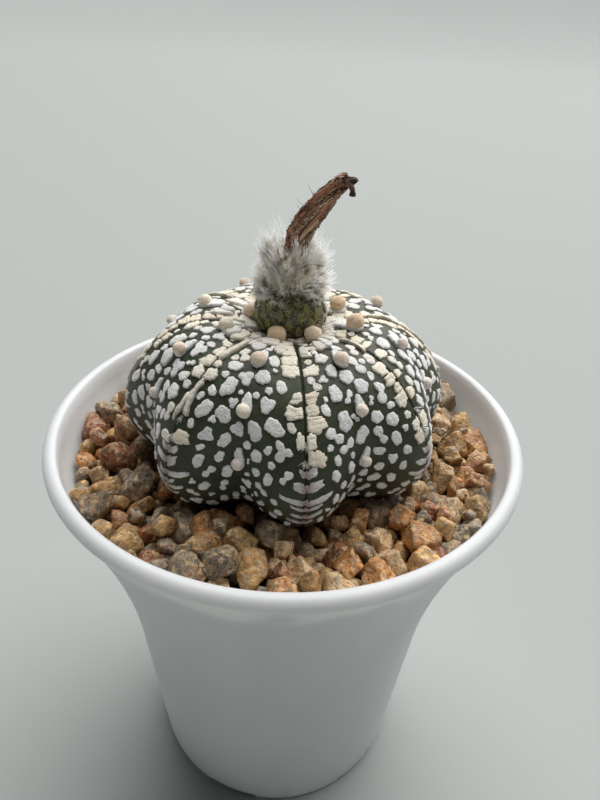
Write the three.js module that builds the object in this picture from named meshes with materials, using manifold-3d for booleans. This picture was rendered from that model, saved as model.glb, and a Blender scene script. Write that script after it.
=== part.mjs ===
// Potted star cactus: a low, eight-lobed cactus with white felt flecks, its woolly fruit and withered
// flower, in a white plastic pot topped with granite gravel.
// Millimetres, +Z up, origin on the ground under the middle of the pot.
// An azimuth runs from -Y, the front, round towards +X. "Along" is a share of the way down the cactus.
import * as THREE from 'three';
import { mergeVertices } from 'three/addons/utils/BufferGeometryUtils.js';
import Module from 'manifold-3d';

const wasm = await Module();
wasm.setup();

const GAP = 0.3; // between pieces that rest on each other
const SEED = { gravel: 4, cactus: 19, fruit: 5, wool: 7 }; // of each piece's random draws

// Pot
const POT_FACETS = 48;
const RIM_RADIUS = 45; // outside of the rolled lip
const POT_HEIGHT = 89.3;
const WALL_THICKNESS = 1.3;
const BASE_RADIUS = 29.9;
const WALL_LEAN = 0.075; // outward, per mm of height
const FLARE_START = 40; // height above which the wall also curves outwards
const FLARE = 0.00355;
const LIP_RADIUS = 1.5;
const LIP_ANGLES = [-60, -20, 20, 70, 125]; // degrees up from outwards, of the lip's corners
const FLOOR_UNDERSIDE = 2;
const FLOOR_TOP = 3.3;
const FOOT_WIDTH = 2.4;
const FOOT_CHAMFER = { width: 0.5, height: 0.7 };
const FOOT_NOTCH = { count: 6, first: -17, width: 10.8, height: 1.3, depth: 8 };
const DRAIN_HOLE = { radius: 2.5, ring: 16, count: 6, facets: 10, depth: 4 };

// Fill
const MIX_TOP = 78;
const GRAVEL_BED = 83.6; // bottom of the joints between the stones on top
const GRAVEL_TOP = 88.6;
const STONE = {
  spacing: 6.4,
  jitter: 0.22, // of the spacing
  top: [85.4, 87.6],
  slope: [0.3, 1.4], // fall from the top of a stone to its shoulder
  inset: [0.12, 0.3], // of the shoulder from the joint, as a share of the way to the middle
};
const BODY_CLEARANCE = 1; // stones stay this far off the skin, clear of the flecks

// Cactus body
const LOBE_COUNT = 8;
const FIRST_LOBE = 8; // azimuth of the lobe that faces the front
const CROWN_SEAT = 107; // height of the flat spot that carries the fruit
const LOBE_SHARPNESS = 0.8; // below 1 the lobes are broad and the valleys narrow
const SKIN_STEPS = [0, 1.3, 11.5, 22.5]; // degrees from a lobe's crest, of the mesh lines
const GROOVE_DEPTH = 0.55; // of the seam that runs down each crest
const SEAM_FOOT = [80, 86]; // heights between which the seams run out in the gravel
const SEAM_HEAD = [0.02, 0.12]; // and the shares of the way down between which they start
const ROOT_TIP = 52;
const LOBE_OUTLINE = [
  [4.4, 107.2], [9.5, 109.3], [15, 109.6], [20, 108.1], [24.3, 104.8], [27.6, 100.6], [29.6, 96.2],
  [30, 91.8], [28.6, 88], [26.6, 85.4], [21, 81.9], [13, 79.6], [7.5, 76.5], [5.4, 69], [3.2, 60],
];
const VALLEY_OUTLINE = [
  [4.4, 107.2], [9.3, 109.8], [14.8, 110.1], [19.6, 108.2], [23.1, 104.8], [25.2, 100.3], [25.8, 96],
  [24.9, 92], [23.4, 88.4], [21.6, 85.6], [17.6, 82.4], [12.4, 79.8], [7.5, 76.5], [5.4, 69], [3.2, 60],
];
const SKIN_ROWS = { aboveGravel: 9, below: 3 };
const GRAVEL_SHARE = 0.64; // where the outlines pass into the gravel

// Felt flecks and areoles
const FELT_EDGE = 0.6; // height of a fleck's edge, as a share of its rise
const FELT_ROOT = 3; // how deep a fleck's point is sunk in the flesh
const FELT_RAGGED = 0.12;
const FELT_LOWEST = 88.4;
const FLECK = { spacing: 4.8, length: 4, width: 3.1, rise: 0.75, turn: 0.5 };
const FLECK_BAND = [0.03, 0.62]; // shares of the way down that carry flecks
const FLECK_INNERMOST = 6.8; // radius on the crown
const FLECK_CROWDING = { height: 110, crown: 0.92, foot: 1.05 }; // of their spacing
const TILE = { spacing: 4.6, length: 3.9, width: 2.6, rise: 0.65, start: 3, aside: [1.8, 2.1], margin: 2.9 };
const AREOLE = { radius: 1.3, rise: 1.5, start: 3.9, spacing: 8.4, lowest: 89, margin: 1.7 };
const AREOLE_ROW_PHASE = [0.05, 0.1, 0.5, 0.3, 0.65, 0.35, 0, 0.55]; // share of the spacing, by row

// Fruit, its wool and the withered flower
const FRUIT_OUTLINE = [
  [3.4, 107.3], [5.1, 108.6], [6, 110.6], [5.9, 112.6], [5.2, 114.6], [4.5, 116.8], [3.9, 119.2], [3, 121],
];
const FRUIT_SCALE = { rows: [109.6, 112], count: 8, length: 1.9, width: 1.6, rise: 0.5 };
const WOOL_OUTLINE = [
  [5.95, 113.8], [6.6, 115], [6.8, 117.6], [6.6, 120.2], [5.8, 122.6], [4.6, 124.4], [3.7, 125],
];
const WOOL_THROAT = 3.2; // radius of the opening that the flower rises through
const WOOL_HAIR = { rows: [115.6, 118, 120.4, 122.8], count: 10, length: 2.1, width: 1.2, spread: 0.8 };
const FLOWER_PATH = [
  [0, 0, 121.3], [0.3, 0, 124.4], [2.3, 0, 128.1], [5, 0, 131.3], [7.8, 0, 133.5], [9.3, 0, 133.8],
];
const FLOWER_RADIUS = [2.1, 2.35, 2.2, 1.75, 1.25, 0.75];
const FLOWER_SHAPE = { folds: 5, twist: 200, foldDepth: 0.42 }; // twist in degrees from base to tip
const HOOK_PATH = [[8.4, -0.2, 133.6], [9.5, -0.3, 133.4], [9.9, -0.3, 132.4], [9.6, -0.3, 131.8]];
const HOOK_RADIUS = [0.55, 0.55];
const HOOK_SHAPE = { folds: 3, twist: 40, foldDepth: 0.3 };

const COLOR = {
  pot: 0xe9eaec,
  mix: 0x4b3a2c,
  skin: 0x37422f,
  felt: 0xdfddd8,
  creamFelt: 0xddd3bb,
  areole: 0xc9b196,
  stones: [0xb08a5e, 0x9a7551, 0xa6623c, 0x8a7a68, 0xc09a68, 0x74604c],
  fruit: 0x5a6236,
  fruitScale: 0x7c8058,
  wool: 0xc9c4ba,
  flower: 0x6a3f2e,
};

function seededRandom(seed) {
  let state = seed;
  return () => {
    state = (state + 0x6d2b79f5) | 0;
    let t = Math.imul(state ^ (state >>> 15), 1 | state);
    t = (t + Math.imul(t ^ (t >>> 7), 61 | t)) ^ t;
    return ((t ^ (t >>> 14)) >>> 0) / 4294967296;
  };
}
let random = seededRandom(0); // each piece that draws starts its own
const between = (low, high) => low + (high - low) * random();
const radians = THREE.MathUtils.degToRad;

// A point at a radius, azimuth in degrees and height.
function polar(radius, azimuth, height) {
  const angle = radians(azimuth);
  return new THREE.Vector3(radius * Math.sin(angle), -radius * Math.cos(angle), height);
}

// Closed solids

// Turns a closed geometry into a solid. Its colour is remembered by the solid's own number.
const paint = new Map();
function solidOf(geometry, color) {
  const shape = geometry.clone();
  shape.deleteAttribute('normal');
  shape.deleteAttribute('uv');
  const merged = mergeVertices(shape, 1e-4);
  const triangles = [];
  const index = merged.index.array;
  for (let i = 0; i < index.length; i += 3) {
    const [a, b, c] = [index[i], index[i + 1], index[i + 2]];
    if (a !== b && b !== c && c !== a) triangles.push(a, b, c);
  }
  const solid = new wasm.Manifold(new wasm.Mesh({
    numProp: 3,
    vertProperties: Float32Array.from(merged.attributes.position.array),
    triVerts: Uint32Array.from(triangles),
  })).asOriginal();
  paint.set(solid.originalID(), new THREE.Color(color));
  return solid;
}

const join = (solids) => solids.reduce((whole, solid) => whole.add(solid));

// A solid without the tiny pockets that its crossing parts close in: they have less than no volume.
const outerSkin = (solid) => solid.decompose().find((part) => part.volume() > 0);

// Skin between rings of points. The rings run anticlockwise seen from the far end. Each end closes in
// a point where one is given, and flat where none is.
function loft(rings, start, end) {
  const count = rings[0].length;
  const points = rings.flat();
  const index = [];
  const last = rings.length - 1;
  const at = (ring, i) => ring * count + (i % count);
  for (let ring = 0; ring < last; ring += 1) {
    for (let i = 0; i < count; i += 1) {
      index.push(at(ring, i), at(ring, i + 1), at(ring + 1, i + 1));
      index.push(at(ring, i), at(ring + 1, i + 1), at(ring + 1, i));
    }
  }
  const close = (ring, tip, faceForward) => {
    const fan = tip ? points.push(tip) - 1 : at(ring, 0);
    const [from, to] = tip ? [0, count] : [1, count - 1];
    for (let i = from; i < to; i += 1) {
      const edge = [at(ring, i), at(ring, i + 1)];
      index.push(fan, ...(faceForward ? edge : edge.reverse()));
    }
  };
  close(0, start, false);
  close(last, end, true);
  const geometry = new THREE.BufferGeometry().setFromPoints(points);
  geometry.setIndex(index);
  return geometry;
}

// A turned shape from a closed outline of [radius, height] points, inside on the left.
function turned(outline, facets = POT_FACETS) {
  const profile = outline.map(([radius, height]) => new THREE.Vector2(radius, height));
  return new THREE.LatheGeometry(profile, facets).rotateX(Math.PI / 2);
}

// A low, uneven lens of felt whose root tapers down into a surface. u and v lie in the surface.
function lensOn({ point, normal, u, v }, { length, width, rise, sides }) {
  const cornerReach = sides === 4 ? Math.SQRT1_2 : 0.5; // so that four corners span the full length
  const edge = [];
  for (let i = 0; i < sides; i += 1) {
    const angle = ((i + 0.5) / sides) * 2 * Math.PI;
    const reach = cornerReach * (1 + between(-FELT_RAGGED, FELT_RAGGED));
    edge.push(point.clone()
      .addScaledVector(u, Math.cos(angle) * length * reach)
      .addScaledVector(v, Math.sin(angle) * width * reach)
      .addScaledVector(normal, rise * FELT_EDGE));
  }
  const bottom = point.clone().addScaledVector(normal, -FELT_ROOT);
  const top = point.clone().addScaledVector(normal, rise);
  return loft([edge], bottom, top);
}

// Names a finished solid. Each face keeps the colour of the solid that it came from, unless a rule
// gives it one by its place.
function meshOf(name, solid, { roughness, metalness = 0, colorAt }) {
  const { vertProperties, triVerts, runIndex, runOriginalID } = solid.getMesh();
  const corners = new Float32Array(triVerts.length * 3);
  triVerts.forEach((vertex, i) => corners.set(vertProperties.subarray(vertex * 3, vertex * 3 + 3), i * 3));
  const colors = new Float32Array(triVerts.length * 3);
  runOriginalID.forEach((id, run) => {
    for (let i = runIndex[run]; i < runIndex[run + 1]; i += 3) {
      const color = colorAt ? colorAt(new THREE.Vector3().fromArray(corners, i * 3)) : paint.get(id);
      for (const corner of [i, i + 1, i + 2]) color.toArray(colors, corner * 3);
    }
  });
  const geometry = new THREE.BufferGeometry();
  geometry.setAttribute('position', new THREE.BufferAttribute(corners, 3));
  geometry.setAttribute('color', new THREE.BufferAttribute(colors, 3));
  geometry.computeVertexNormals();
  const material = new THREE.MeshStandardMaterial({ vertexColors: true, roughness, metalness });
  const mesh = new THREE.Mesh(geometry, material);
  mesh.name = name;
  return mesh;
}

// Pot

const wallRadius = (z) => BASE_RADIUS + WALL_LEAN * z + FLARE * Math.max(0, z - FLARE_START) ** 2;
const boreRadius = (z) => wallRadius(z) - WALL_THICKNESS;
const wallTop = POT_HEIGHT - 2.4 * LIP_RADIUS;
const wallHeights = [FLARE_START, 54, 65, 75, wallTop];

function potSolid() {
  const footInner = BASE_RADIUS - FOOT_WIDTH;
  const outside = [FOOT_CHAMFER.height, ...wallHeights].map((z) => [wallRadius(z), z]);
  const lip = LIP_ANGLES.map((angle) => [
    RIM_RADIUS - LIP_RADIUS + LIP_RADIUS * Math.cos(radians(angle)),
    POT_HEIGHT - LIP_RADIUS + LIP_RADIUS * Math.sin(radians(angle)),
  ]);
  const inside = [FLOOR_TOP, ...wallHeights].map((z) => [boreRadius(z), z]).reverse();
  const underside = [[0, FLOOR_TOP], [0, FLOOR_UNDERSIDE], [footInner, FLOOR_UNDERSIDE], [footInner, 0]];
  const outline = [[BASE_RADIUS - FOOT_CHAMFER.width, 0], ...outside, ...lip, ...inside, ...underside];
  let pot = solidOf(turned([...outline, outline[0]]), COLOR.pot);

  for (let i = 0; i < FOOT_NOTCH.count; i += 1) {
    const azimuth = FOOT_NOTCH.first + (i * 360) / FOOT_NOTCH.count;
    const notch = new THREE.BoxGeometry(FOOT_NOTCH.width, FOOT_NOTCH.depth, 2 * FOOT_NOTCH.height);
    notch.rotateZ(radians(azimuth)).translate(...polar(BASE_RADIUS, azimuth, 0).toArray());
    pot = pot.subtract(solidOf(notch, COLOR.pot));
  }
  const holes = [polar(0, 0, FLOOR_TOP)];
  for (let i = 0; i < DRAIN_HOLE.count; i += 1) {
    holes.push(polar(DRAIN_HOLE.ring, (i * 360) / DRAIN_HOLE.count, FLOOR_TOP));
  }
  const { radius, depth, facets } = DRAIN_HOLE;
  for (const hole of holes) {
    const drill = new THREE.CylinderGeometry(radius, radius, depth, facets).rotateX(Math.PI / 2);
    pot = pot.subtract(solidOf(drill.translate(hole.x, hole.y, hole.z), COLOR.pot));
  }
  return pot;
}

// Cactus body

const lobeCurve = outlineCurve(LOBE_OUTLINE);
const valleyCurve = outlineCurve(VALLEY_OUTLINE);

function outlineCurve(outline) {
  return new THREE.SplineCurve(outline.map(([radius, height]) => new THREE.Vector2(radius, height)));
}

// 1 on the crest of a lobe, 0 in the valley between two.
function lobeShare(azimuth) {
  const wave = 0.5 + 0.5 * Math.cos(radians(LOBE_COUNT * (azimuth - FIRST_LOBE)));
  return Math.max(wave, 0) ** LOBE_SHARPNESS;
}

function skinPoint(along, azimuth) {
  const section = valleyCurve.getPoint(along).lerp(lobeCurve.getPoint(along), lobeShare(azimuth));
  return polar(section.x, azimuth, section.y);
}

// The skin's point, outward normal, and the directions down the slope and around.
function skinFrame(along, azimuth) {
  const point = skinPoint(along, azimuth);
  const u = skinPoint(along + 0.004, azimuth).sub(skinPoint(along - 0.004, azimuth)).normalize();
  const around = skinPoint(along, azimuth + 1).sub(skinPoint(along, azimuth - 1)).normalize();
  const normal = new THREE.Vector3().crossVectors(u, around).normalize();
  const v = new THREE.Vector3().crossVectors(normal, u);
  return { point, normal, u, v };
}

// Where the mesh rows of the skin lie, from the root up.
function skinRows() {
  const { aboveGravel, below } = SKIN_ROWS;
  const rows = [];
  for (let row = aboveGravel + below; row >= 0; row -= 1) {
    const buried = Math.max(0, row - aboveGravel) / below;
    const along = GRAVEL_SHARE * Math.min(1, row / aboveGravel) + (1 - GRAVEL_SHARE) * buried;
    rows.push(THREE.MathUtils.clamp(along, 0.005, 0.995));
  }
  return rows;
}

// The whole skin, raised by a distance; with the seams only when they are asked for.
function skinSolid(raised, seamDepth) {
  const azimuths = [];
  for (let lobe = 0; lobe < LOBE_COUNT; lobe += 1) {
    const crest = FIRST_LOBE + (lobe * 360) / LOBE_COUNT;
    const steps = [...SKIN_STEPS.slice(1, -1).reverse().map((step) => -step), ...SKIN_STEPS];
    for (const step of steps) azimuths.push({ azimuth: crest + step, onSeam: step === 0 });
  }
  const { smoothstep } = THREE.MathUtils;
  const rings = skinRows().map((along) => azimuths.map(({ azimuth, onSeam }) => {
    const { point, normal } = skinFrame(along, azimuth);
    const shown = smoothstep(point.z, ...SEAM_FOOT) * smoothstep(along, ...SEAM_HEAD);
    return point.addScaledVector(normal, raised - (onSeam ? seamDepth * shown : 0));
  }));
  const tip = new THREE.Vector3(0, 0, ROOT_TIP - raised);
  const crown = new THREE.Vector3(0, 0, CROWN_SEAT + raised);
  return solidOf(loft(rings, tip, crown), COLOR.skin);
}

// Places down one line of the skin, a distance apart, from the crown to the gravel.
function placesDown(azimuth, firstDistance, spacing, lowest) {
  const places = [];
  let distance = 0;
  let next = firstDistance;
  let last = skinPoint(0, azimuth);
  for (let along = 0.005; along < 1; along += 0.005) {
    const point = skinPoint(along, azimuth);
    distance += point.distanceTo(last);
    last = point;
    if (point.z < lowest && along > 0.2) break;
    if (distance >= next) {
      places.push(along);
      next += spacing;
    }
  }
  return places;
}

// Small woolly balls down the valleys, half a step apart in neighbouring rows.
function areoles() {
  const places = [];
  AREOLE_ROW_PHASE.forEach((phase, row) => {
    const azimuth = FIRST_LOBE + ((row - 0.5) * 360) / LOBE_COUNT;
    const start = AREOLE.start + phase * AREOLE.spacing;
    for (const along of placesDown(azimuth, start, AREOLE.spacing, AREOLE.lowest)) {
      places.push(skinFrame(along, azimuth));
    }
  });
  return places;
}

// Cream tiles in pairs along the seam of each lobe, and bars across it near the gravel.
function seamFlecks() {
  const tiles = [];
  for (let lobe = 0; lobe < LOBE_COUNT; lobe += 1) {
    const crest = FIRST_LOBE + (lobe * 360) / LOBE_COUNT;
    for (const side of [-1, 1]) {
      const first = TILE.start + between(0, TILE.spacing);
      for (const along of placesDown(crest, first, TILE.spacing, FELT_LOWEST)) {
        const radius = Math.hypot(skinPoint(along, crest).x, skinPoint(along, crest).y);
        const aside = between(...TILE.aside) / radius;
        const place = skinFrame(along, crest + side * THREE.MathUtils.radToDeg(aside));
        const length = TILE.length * between(0.8, 1.05);
        const width = TILE.width * between(0.8, 1.1);
        tiles.push({ ...place, length, width });
      }
    }
  }
  return tiles;
}

// White flecks scattered over the skin, a least distance apart and off the places already taken.
function scatteredFlecks(taken) {
  const flecks = [];
  const tries = 9000;
  for (let i = 0; i < tries; i += 1) {
    const along = between(...FLECK_BAND);
    const azimuth = between(0, 360);
    const place = skinFrame(along, azimuth);
    const { point } = place;
    const radius = Math.hypot(point.x, point.y);
    if (point.z < FELT_LOWEST || radius < FLECK_INNERMOST) continue;
    const { height, crown, foot } = FLECK_CROWDING;
    const spacing = FLECK.spacing * THREE.MathUtils.mapLinear(point.z, height, FELT_LOWEST, crown, foot);
    const clear = (other) => point.distanceTo(other.point) > (other.reach ?? spacing);
    if (taken.every(clear) && flecks.every(clear)) flecks.push(place);
  }
  return flecks;
}

function cactusSolid() {
  random = seededRandom(SEED.cactus);
  const balls = areoles();
  const tiles = seamFlecks();
  const taken = [
    ...balls.map(({ point }) => ({ point, reach: AREOLE.radius + AREOLE.margin })),
    ...tiles.map(({ point }) => ({ point, reach: TILE.margin })),
  ];
  const solids = [skinSolid(0, GROOVE_DEPTH)];
  for (const tile of tiles) {
    solids.push(solidOf(lensOn(tile, { ...tile, rise: TILE.rise, sides: 4 }), COLOR.creamFelt));
  }
  for (const fleck of scatteredFlecks(taken)) {
    const turn = between(-FLECK.turn, FLECK.turn);
    const u = fleck.u.clone().applyAxisAngle(fleck.normal, turn);
    const v = fleck.v.clone().applyAxisAngle(fleck.normal, turn);
    const length = FLECK.length * between(0.8, 1.1);
    const width = FLECK.width * between(0.8, 1.1);
    const shape = { length, width, rise: FLECK.rise, sides: 5 };
    solids.push(solidOf(lensOn({ ...fleck, u, v }, shape), COLOR.felt));
  }
  for (const ball of balls) {
    const shape = { length: 2 * AREOLE.radius, width: 2 * AREOLE.radius, rise: AREOLE.rise, sides: 6 };
    solids.push(solidOf(lensOn(ball, shape), COLOR.areole));
  }
  return outerSkin(join(solids));
}

// Fill of the pot

// A disc of the pot's inside from one height to another, a gap away from the wall.
function fillSolid(bottom, top, color) {
  const heights = [bottom, ...wallHeights.filter((z) => z > bottom + 1 && z < top - 1), top];
  const side = heights.map((z) => [boreRadius(z) - GAP, z]);
  return solidOf(turned([[0, bottom], ...side, [0, top]]), color);
}

// The potting mix, with a plain socket for the taproot.
function mixSolid() {
  const facets = 16;
  const widen = 1 / Math.cos(Math.PI / facets);
  const highest = MIX_TOP + 5; // the socket's cutter passes through the top of the mix
  const sections = skinRows().map((along) => lobeCurve.getPoint(along));
  const root = sections.filter(({ y }) => y < highest).map(({ x, y }) => [(x + 2 * GAP) * widen, y - GAP]);
  const outline = [[0, ROOT_TIP - 2 * GAP], ...root, [0, root.at(-1)[1]]];
  return fillSolid(FLOOR_TOP + GAP, MIX_TOP, COLOR.mix).subtract(solidOf(turned(outline, facets), COLOR.mix));
}

// Closely laid stones: each fills one cell of an uneven triangular lattice, its top raised and
// tilted, with a low joint to the next. A cell's six neighbours are one step away in row and column.
const stoneCentres = new Map();
function stoneBed() {
  const neighbours = [[0, 1], [1, 0], [1, -1], [0, -1], [-1, 0], [-1, 1]];
  const bottom = MIX_TOP - 1;
  const reach = Math.ceil(boreRadius(GRAVEL_TOP) / STONE.spacing) + 1;
  for (let row = -reach - 2; row <= reach + 2; row += 1) {
    for (let column = -reach - 2; column <= reach + 2; column += 1) {
      const across = column + row / 2 + between(-STONE.jitter, STONE.jitter);
      const deep = (row + between(-STONE.jitter, STONE.jitter)) * Math.sqrt(0.75);
      const centre = new THREE.Vector3(across * STONE.spacing, deep * STONE.spacing, 0);
      stoneCentres.set(`${row} ${column}`, centre);
    }
  }
  const points = [];
  const index = [];
  const names = new Map();
  const named = (name, point) => {
    if (!names.has(name)) names.set(name, points.push(point) - 1);
    return names.get(name);
  };
  for (const [cell, centre] of stoneCentres) {
    const [row, column] = cell.split(' ').map(Number);
    if (Math.max(Math.abs(row), Math.abs(column), Math.abs(row + column)) > reach) continue;
    const around = neighbours.map(([rows, columns]) => `${row + rows} ${column + columns}`);
    const top = between(...STONE.top);
    const crest = points.push(centre.clone().setZ(top)) - 1;
    const under = points.push(centre.clone().setZ(bottom)) - 1;
    const corners = around.map((next, k) => {
      const trio = [cell, next, around[(k + 1) % 6]];
      const name = [...trio].sort().join(' and ');
      const { x, y } = trio.reduce((sum, each) => sum.add(stoneCentres.get(each)), new THREE.Vector3())
        .divideScalar(3);
      const inset = new THREE.Vector3(x, y, 0).lerp(centre, between(...STONE.inset));
      return {
        joint: named(name, new THREE.Vector3(x, y, GRAVEL_BED)),
        foot: named(`${name} below`, new THREE.Vector3(x, y, bottom)),
        shoulder: points.push(inset.setZ(top - between(...STONE.slope))) - 1,
      };
    });
    corners.forEach((here, k) => {
      const next = corners[(k + 1) % 6];
      index.push(here.joint, next.joint, next.shoulder, here.joint, next.shoulder, here.shoulder);
      index.push(here.shoulder, next.shoulder, crest, next.foot, here.foot, under);
      const [row2, column2] = around[(k + 1) % 6].split(' ').map(Number);
      if (Math.max(Math.abs(row2), Math.abs(column2), Math.abs(row2 + column2)) > reach) {
        index.push(here.foot, next.foot, next.joint, here.foot, next.joint, here.joint);
      }
    });
  }
  const geometry = new THREE.BufferGeometry().setFromPoints(points);
  geometry.setIndex(index);
  return solidOf(geometry, COLOR.stones[0]);
}

// The layer reaches the wall at the foot of the stones and stands straight up from there.
function gravelSolid() {
  random = seededRandom(SEED.gravel);
  const bottom = MIX_TOP + GAP;
  const outer = boreRadius(GRAVEL_BED) - GAP;
  const side = [[boreRadius(bottom) - GAP, bottom], [outer, GRAVEL_BED], [outer, GRAVEL_TOP]];
  const room = [[0, bottom], ...side, [0, GRAVEL_TOP]];
  return stoneBed().intersect(solidOf(turned(room), COLOR.stones[0])).subtract(skinSolid(BODY_CLEARANCE, 0));
}

// The colour of the stone whose middle is nearest to a point.
function stoneColor({ x, y }) {
  let nearest;
  let least = Infinity;
  let number = 0;
  for (const centre of stoneCentres.values()) {
    number += 1;
    const distance = Math.hypot(centre.x - x, centre.y - y);
    if (distance < least) {
      least = distance;
      nearest = number;
    }
  }
  return new THREE.Color(COLOR.stones[(nearest * 7) % COLOR.stones.length]);
}

// Fruit, wool and withered flower

// Frames round a turned outline at some heights, for what grows on it.
function framesRound(outline, heights, count) {
  const curve = new THREE.CatmullRomCurve3(outline.map(([radius, z]) => new THREE.Vector3(radius, 0, z)));
  const steps = curve.getPoints(200);
  const frames = [];
  heights.forEach((height, row) => {
    const i = steps.findIndex(({ z }) => z >= height);
    const down = steps[i].clone().sub(steps[i + 1]).normalize();
    for (let k = 0; k < count; k += 1) {
      const azimuth = ((k + (row % 2) / 2 + between(-0.15, 0.15)) * 360) / count;
      const point = polar(steps[i].x, azimuth, height);
      const v = polar(1, azimuth + 90, 0);
      const u = polar(down.x, azimuth, down.z);
      const normal = new THREE.Vector3().crossVectors(u, v);
      frames.push({ point, normal, u, v });
    }
  });
  return frames;
}

function fruitSolid() {
  random = seededRandom(SEED.fruit);
  const outline = [[0, FRUIT_OUTLINE[0][1]], ...FRUIT_OUTLINE, [0, FRUIT_OUTLINE.at(-1)[1]]];
  const berry = solidOf(turned(outline, 20), COLOR.fruit);
  const scales = framesRound(FRUIT_OUTLINE, FRUIT_SCALE.rows, FRUIT_SCALE.count).map((frame) => (
    solidOf(lensOn(frame, { ...FRUIT_SCALE, sides: 4 }), COLOR.fruitScale)));
  return join([berry, ...scales]);
}

// A collar of wool round the fruit, open in the middle, with pointed tufts all over its outside.
function woolSolid() {
  random = seededRandom(SEED.wool);
  const [foot, tip] = [WOOL_OUTLINE[0], WOOL_OUTLINE.at(-1)];
  const clearance = GAP + 0.1; // the collar's flats come closer than its corners
  const inside = FRUIT_OUTLINE.filter(([, z]) => z > foot[1]).map(([radius, z]) => [radius + clearance, z]);
  const throat = [[WOOL_THROAT, inside.at(-1)[1] + GAP], [WOOL_THROAT, tip[1]]];
  const outline = [...WOOL_OUTLINE, ...[...inside, ...throat].reverse()];
  const collar = solidOf(turned([...outline, outline[0]], 20), COLOR.wool);
  const tufts = framesRound(WOOL_OUTLINE, WOOL_HAIR.rows, WOOL_HAIR.count).map(({ point, normal, u, v }) => {
    const lean = normal.clone().multiplyScalar(WOOL_HAIR.spread).sub(u).normalize();
    const root = point.clone().addScaledVector(normal, -0.3); // sunk in the collar
    const ring = [0, 1, 2].map((corner) => {
      const angle = (corner * 2 * Math.PI) / 3;
      return root.clone()
        .addScaledVector(u, Math.cos(angle) * WOOL_HAIR.width * 0.5)
        .addScaledVector(v, Math.sin(angle) * WOOL_HAIR.width * 0.5);
    });
    return solidOf(loft([ring], undefined, root.clone().addScaledVector(lean, WOOL_HAIR.length)), COLOR.wool);
  });
  return join([collar, ...tufts]);
}

// A tapering stem of folded, twisted skin along a path.
function foldedStem(path, radii, { folds, twist, foldDepth }) {
  const curve = new THREE.CatmullRomCurve3(path.map((point) => new THREE.Vector3(...point)));
  const steps = 2 * (path.length - 1);
  const sides = folds * 2;
  const across = new THREE.Vector3(0, 1, 0);
  const rings = [];
  for (let step = 0; step <= steps; step += 1) {
    const share = step / steps;
    const forward = curve.getTangent(share);
    const side = new THREE.Vector3().crossVectors(across, forward).normalize();
    const place = share * (radii.length - 1);
    const from = Math.min(Math.floor(place), radii.length - 2);
    const radius = THREE.MathUtils.lerp(radii[from], radii[from + 1], place - from);
    rings.push(Array.from({ length: sides }, (_, i) => {
      const angle = (i / sides) * 2 * Math.PI + radians(twist) * share;
      const reach = radius * (i % 2 ? 1 - foldDepth : 1);
      return curve.getPoint(share)
        .addScaledVector(side, Math.cos(angle) * reach)
        .addScaledVector(across, Math.sin(angle) * reach);
    }));
  }
  return loft(rings);
}

function flowerSolid() {
  const tube = solidOf(foldedStem(FLOWER_PATH, FLOWER_RADIUS, FLOWER_SHAPE), COLOR.flower);
  const hook = solidOf(foldedStem(HOOK_PATH, HOOK_RADIUS, HOOK_SHAPE), COLOR.flower);
  return join([tube, hook]);
}

const pottedCactus = new THREE.Group();
pottedCactus.add(
  meshOf('pot', potSolid(), { roughness: 0.35 }),
  meshOf('potting_mix', mixSolid(), { roughness: 0.95 }),
  meshOf('gravel', gravelSolid(), { roughness: 0.8, colorAt: stoneColor }),
  meshOf('cactus_body', cactusSolid(), { roughness: 0.7 }),
  meshOf('fruit', fruitSolid(), { roughness: 0.6 }),
  meshOf('fruit_wool', woolSolid(), { roughness: 0.95 }),
  meshOf('dried_flower', flowerSolid(), { roughness: 0.85 }),
);

export default pottedCactus;
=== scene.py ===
# %% [markdown]
# # A potted star cactus
#
# A star cactus is a low, lobed ball of green flesh, covered in flecks of white felt. This one stands in
# a white plastic pot under a layer of granite gravel, and carries a small fruit with its withered flower.
#
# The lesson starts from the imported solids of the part. They fix every size and place, so nothing has to
# be fitted. Plain solids are then hidden, one by one, behind finer pieces that keep their form.

import bmesh
import bpy
import numpy as np
from mathutils import Matrix, Vector
from mathutils.kdtree import KDTree


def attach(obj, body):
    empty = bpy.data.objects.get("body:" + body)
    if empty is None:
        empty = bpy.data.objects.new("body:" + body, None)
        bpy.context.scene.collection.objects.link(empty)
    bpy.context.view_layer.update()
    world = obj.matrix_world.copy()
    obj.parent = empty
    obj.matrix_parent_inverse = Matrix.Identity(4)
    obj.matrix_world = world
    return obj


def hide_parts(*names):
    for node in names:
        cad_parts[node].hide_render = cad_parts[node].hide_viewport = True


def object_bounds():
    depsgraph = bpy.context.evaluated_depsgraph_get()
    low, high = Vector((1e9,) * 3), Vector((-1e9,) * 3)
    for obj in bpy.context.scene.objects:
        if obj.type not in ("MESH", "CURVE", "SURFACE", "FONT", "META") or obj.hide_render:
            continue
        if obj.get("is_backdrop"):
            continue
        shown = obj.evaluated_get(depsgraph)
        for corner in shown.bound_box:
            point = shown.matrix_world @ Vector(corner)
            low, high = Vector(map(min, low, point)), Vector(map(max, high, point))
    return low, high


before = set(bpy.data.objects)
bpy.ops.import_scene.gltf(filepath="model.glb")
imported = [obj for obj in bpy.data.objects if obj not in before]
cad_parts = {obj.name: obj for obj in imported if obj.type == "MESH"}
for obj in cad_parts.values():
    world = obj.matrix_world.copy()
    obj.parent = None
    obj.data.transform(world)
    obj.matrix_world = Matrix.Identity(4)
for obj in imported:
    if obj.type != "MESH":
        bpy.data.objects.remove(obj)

CAD_LOW, CAD_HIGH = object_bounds()
print("solids:", ", ".join(sorted(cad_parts)))

# %% [markdown]
# ## The camera
#
# A photograph is easiest to match when its camera comes first. The pot's rim and foot are circles, and
# the two ellipses that they make in a picture fix where the camera stood and how it was tilted. A wide
# phone lens, held close and a little turned, gives the strong taper of the pot.

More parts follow.
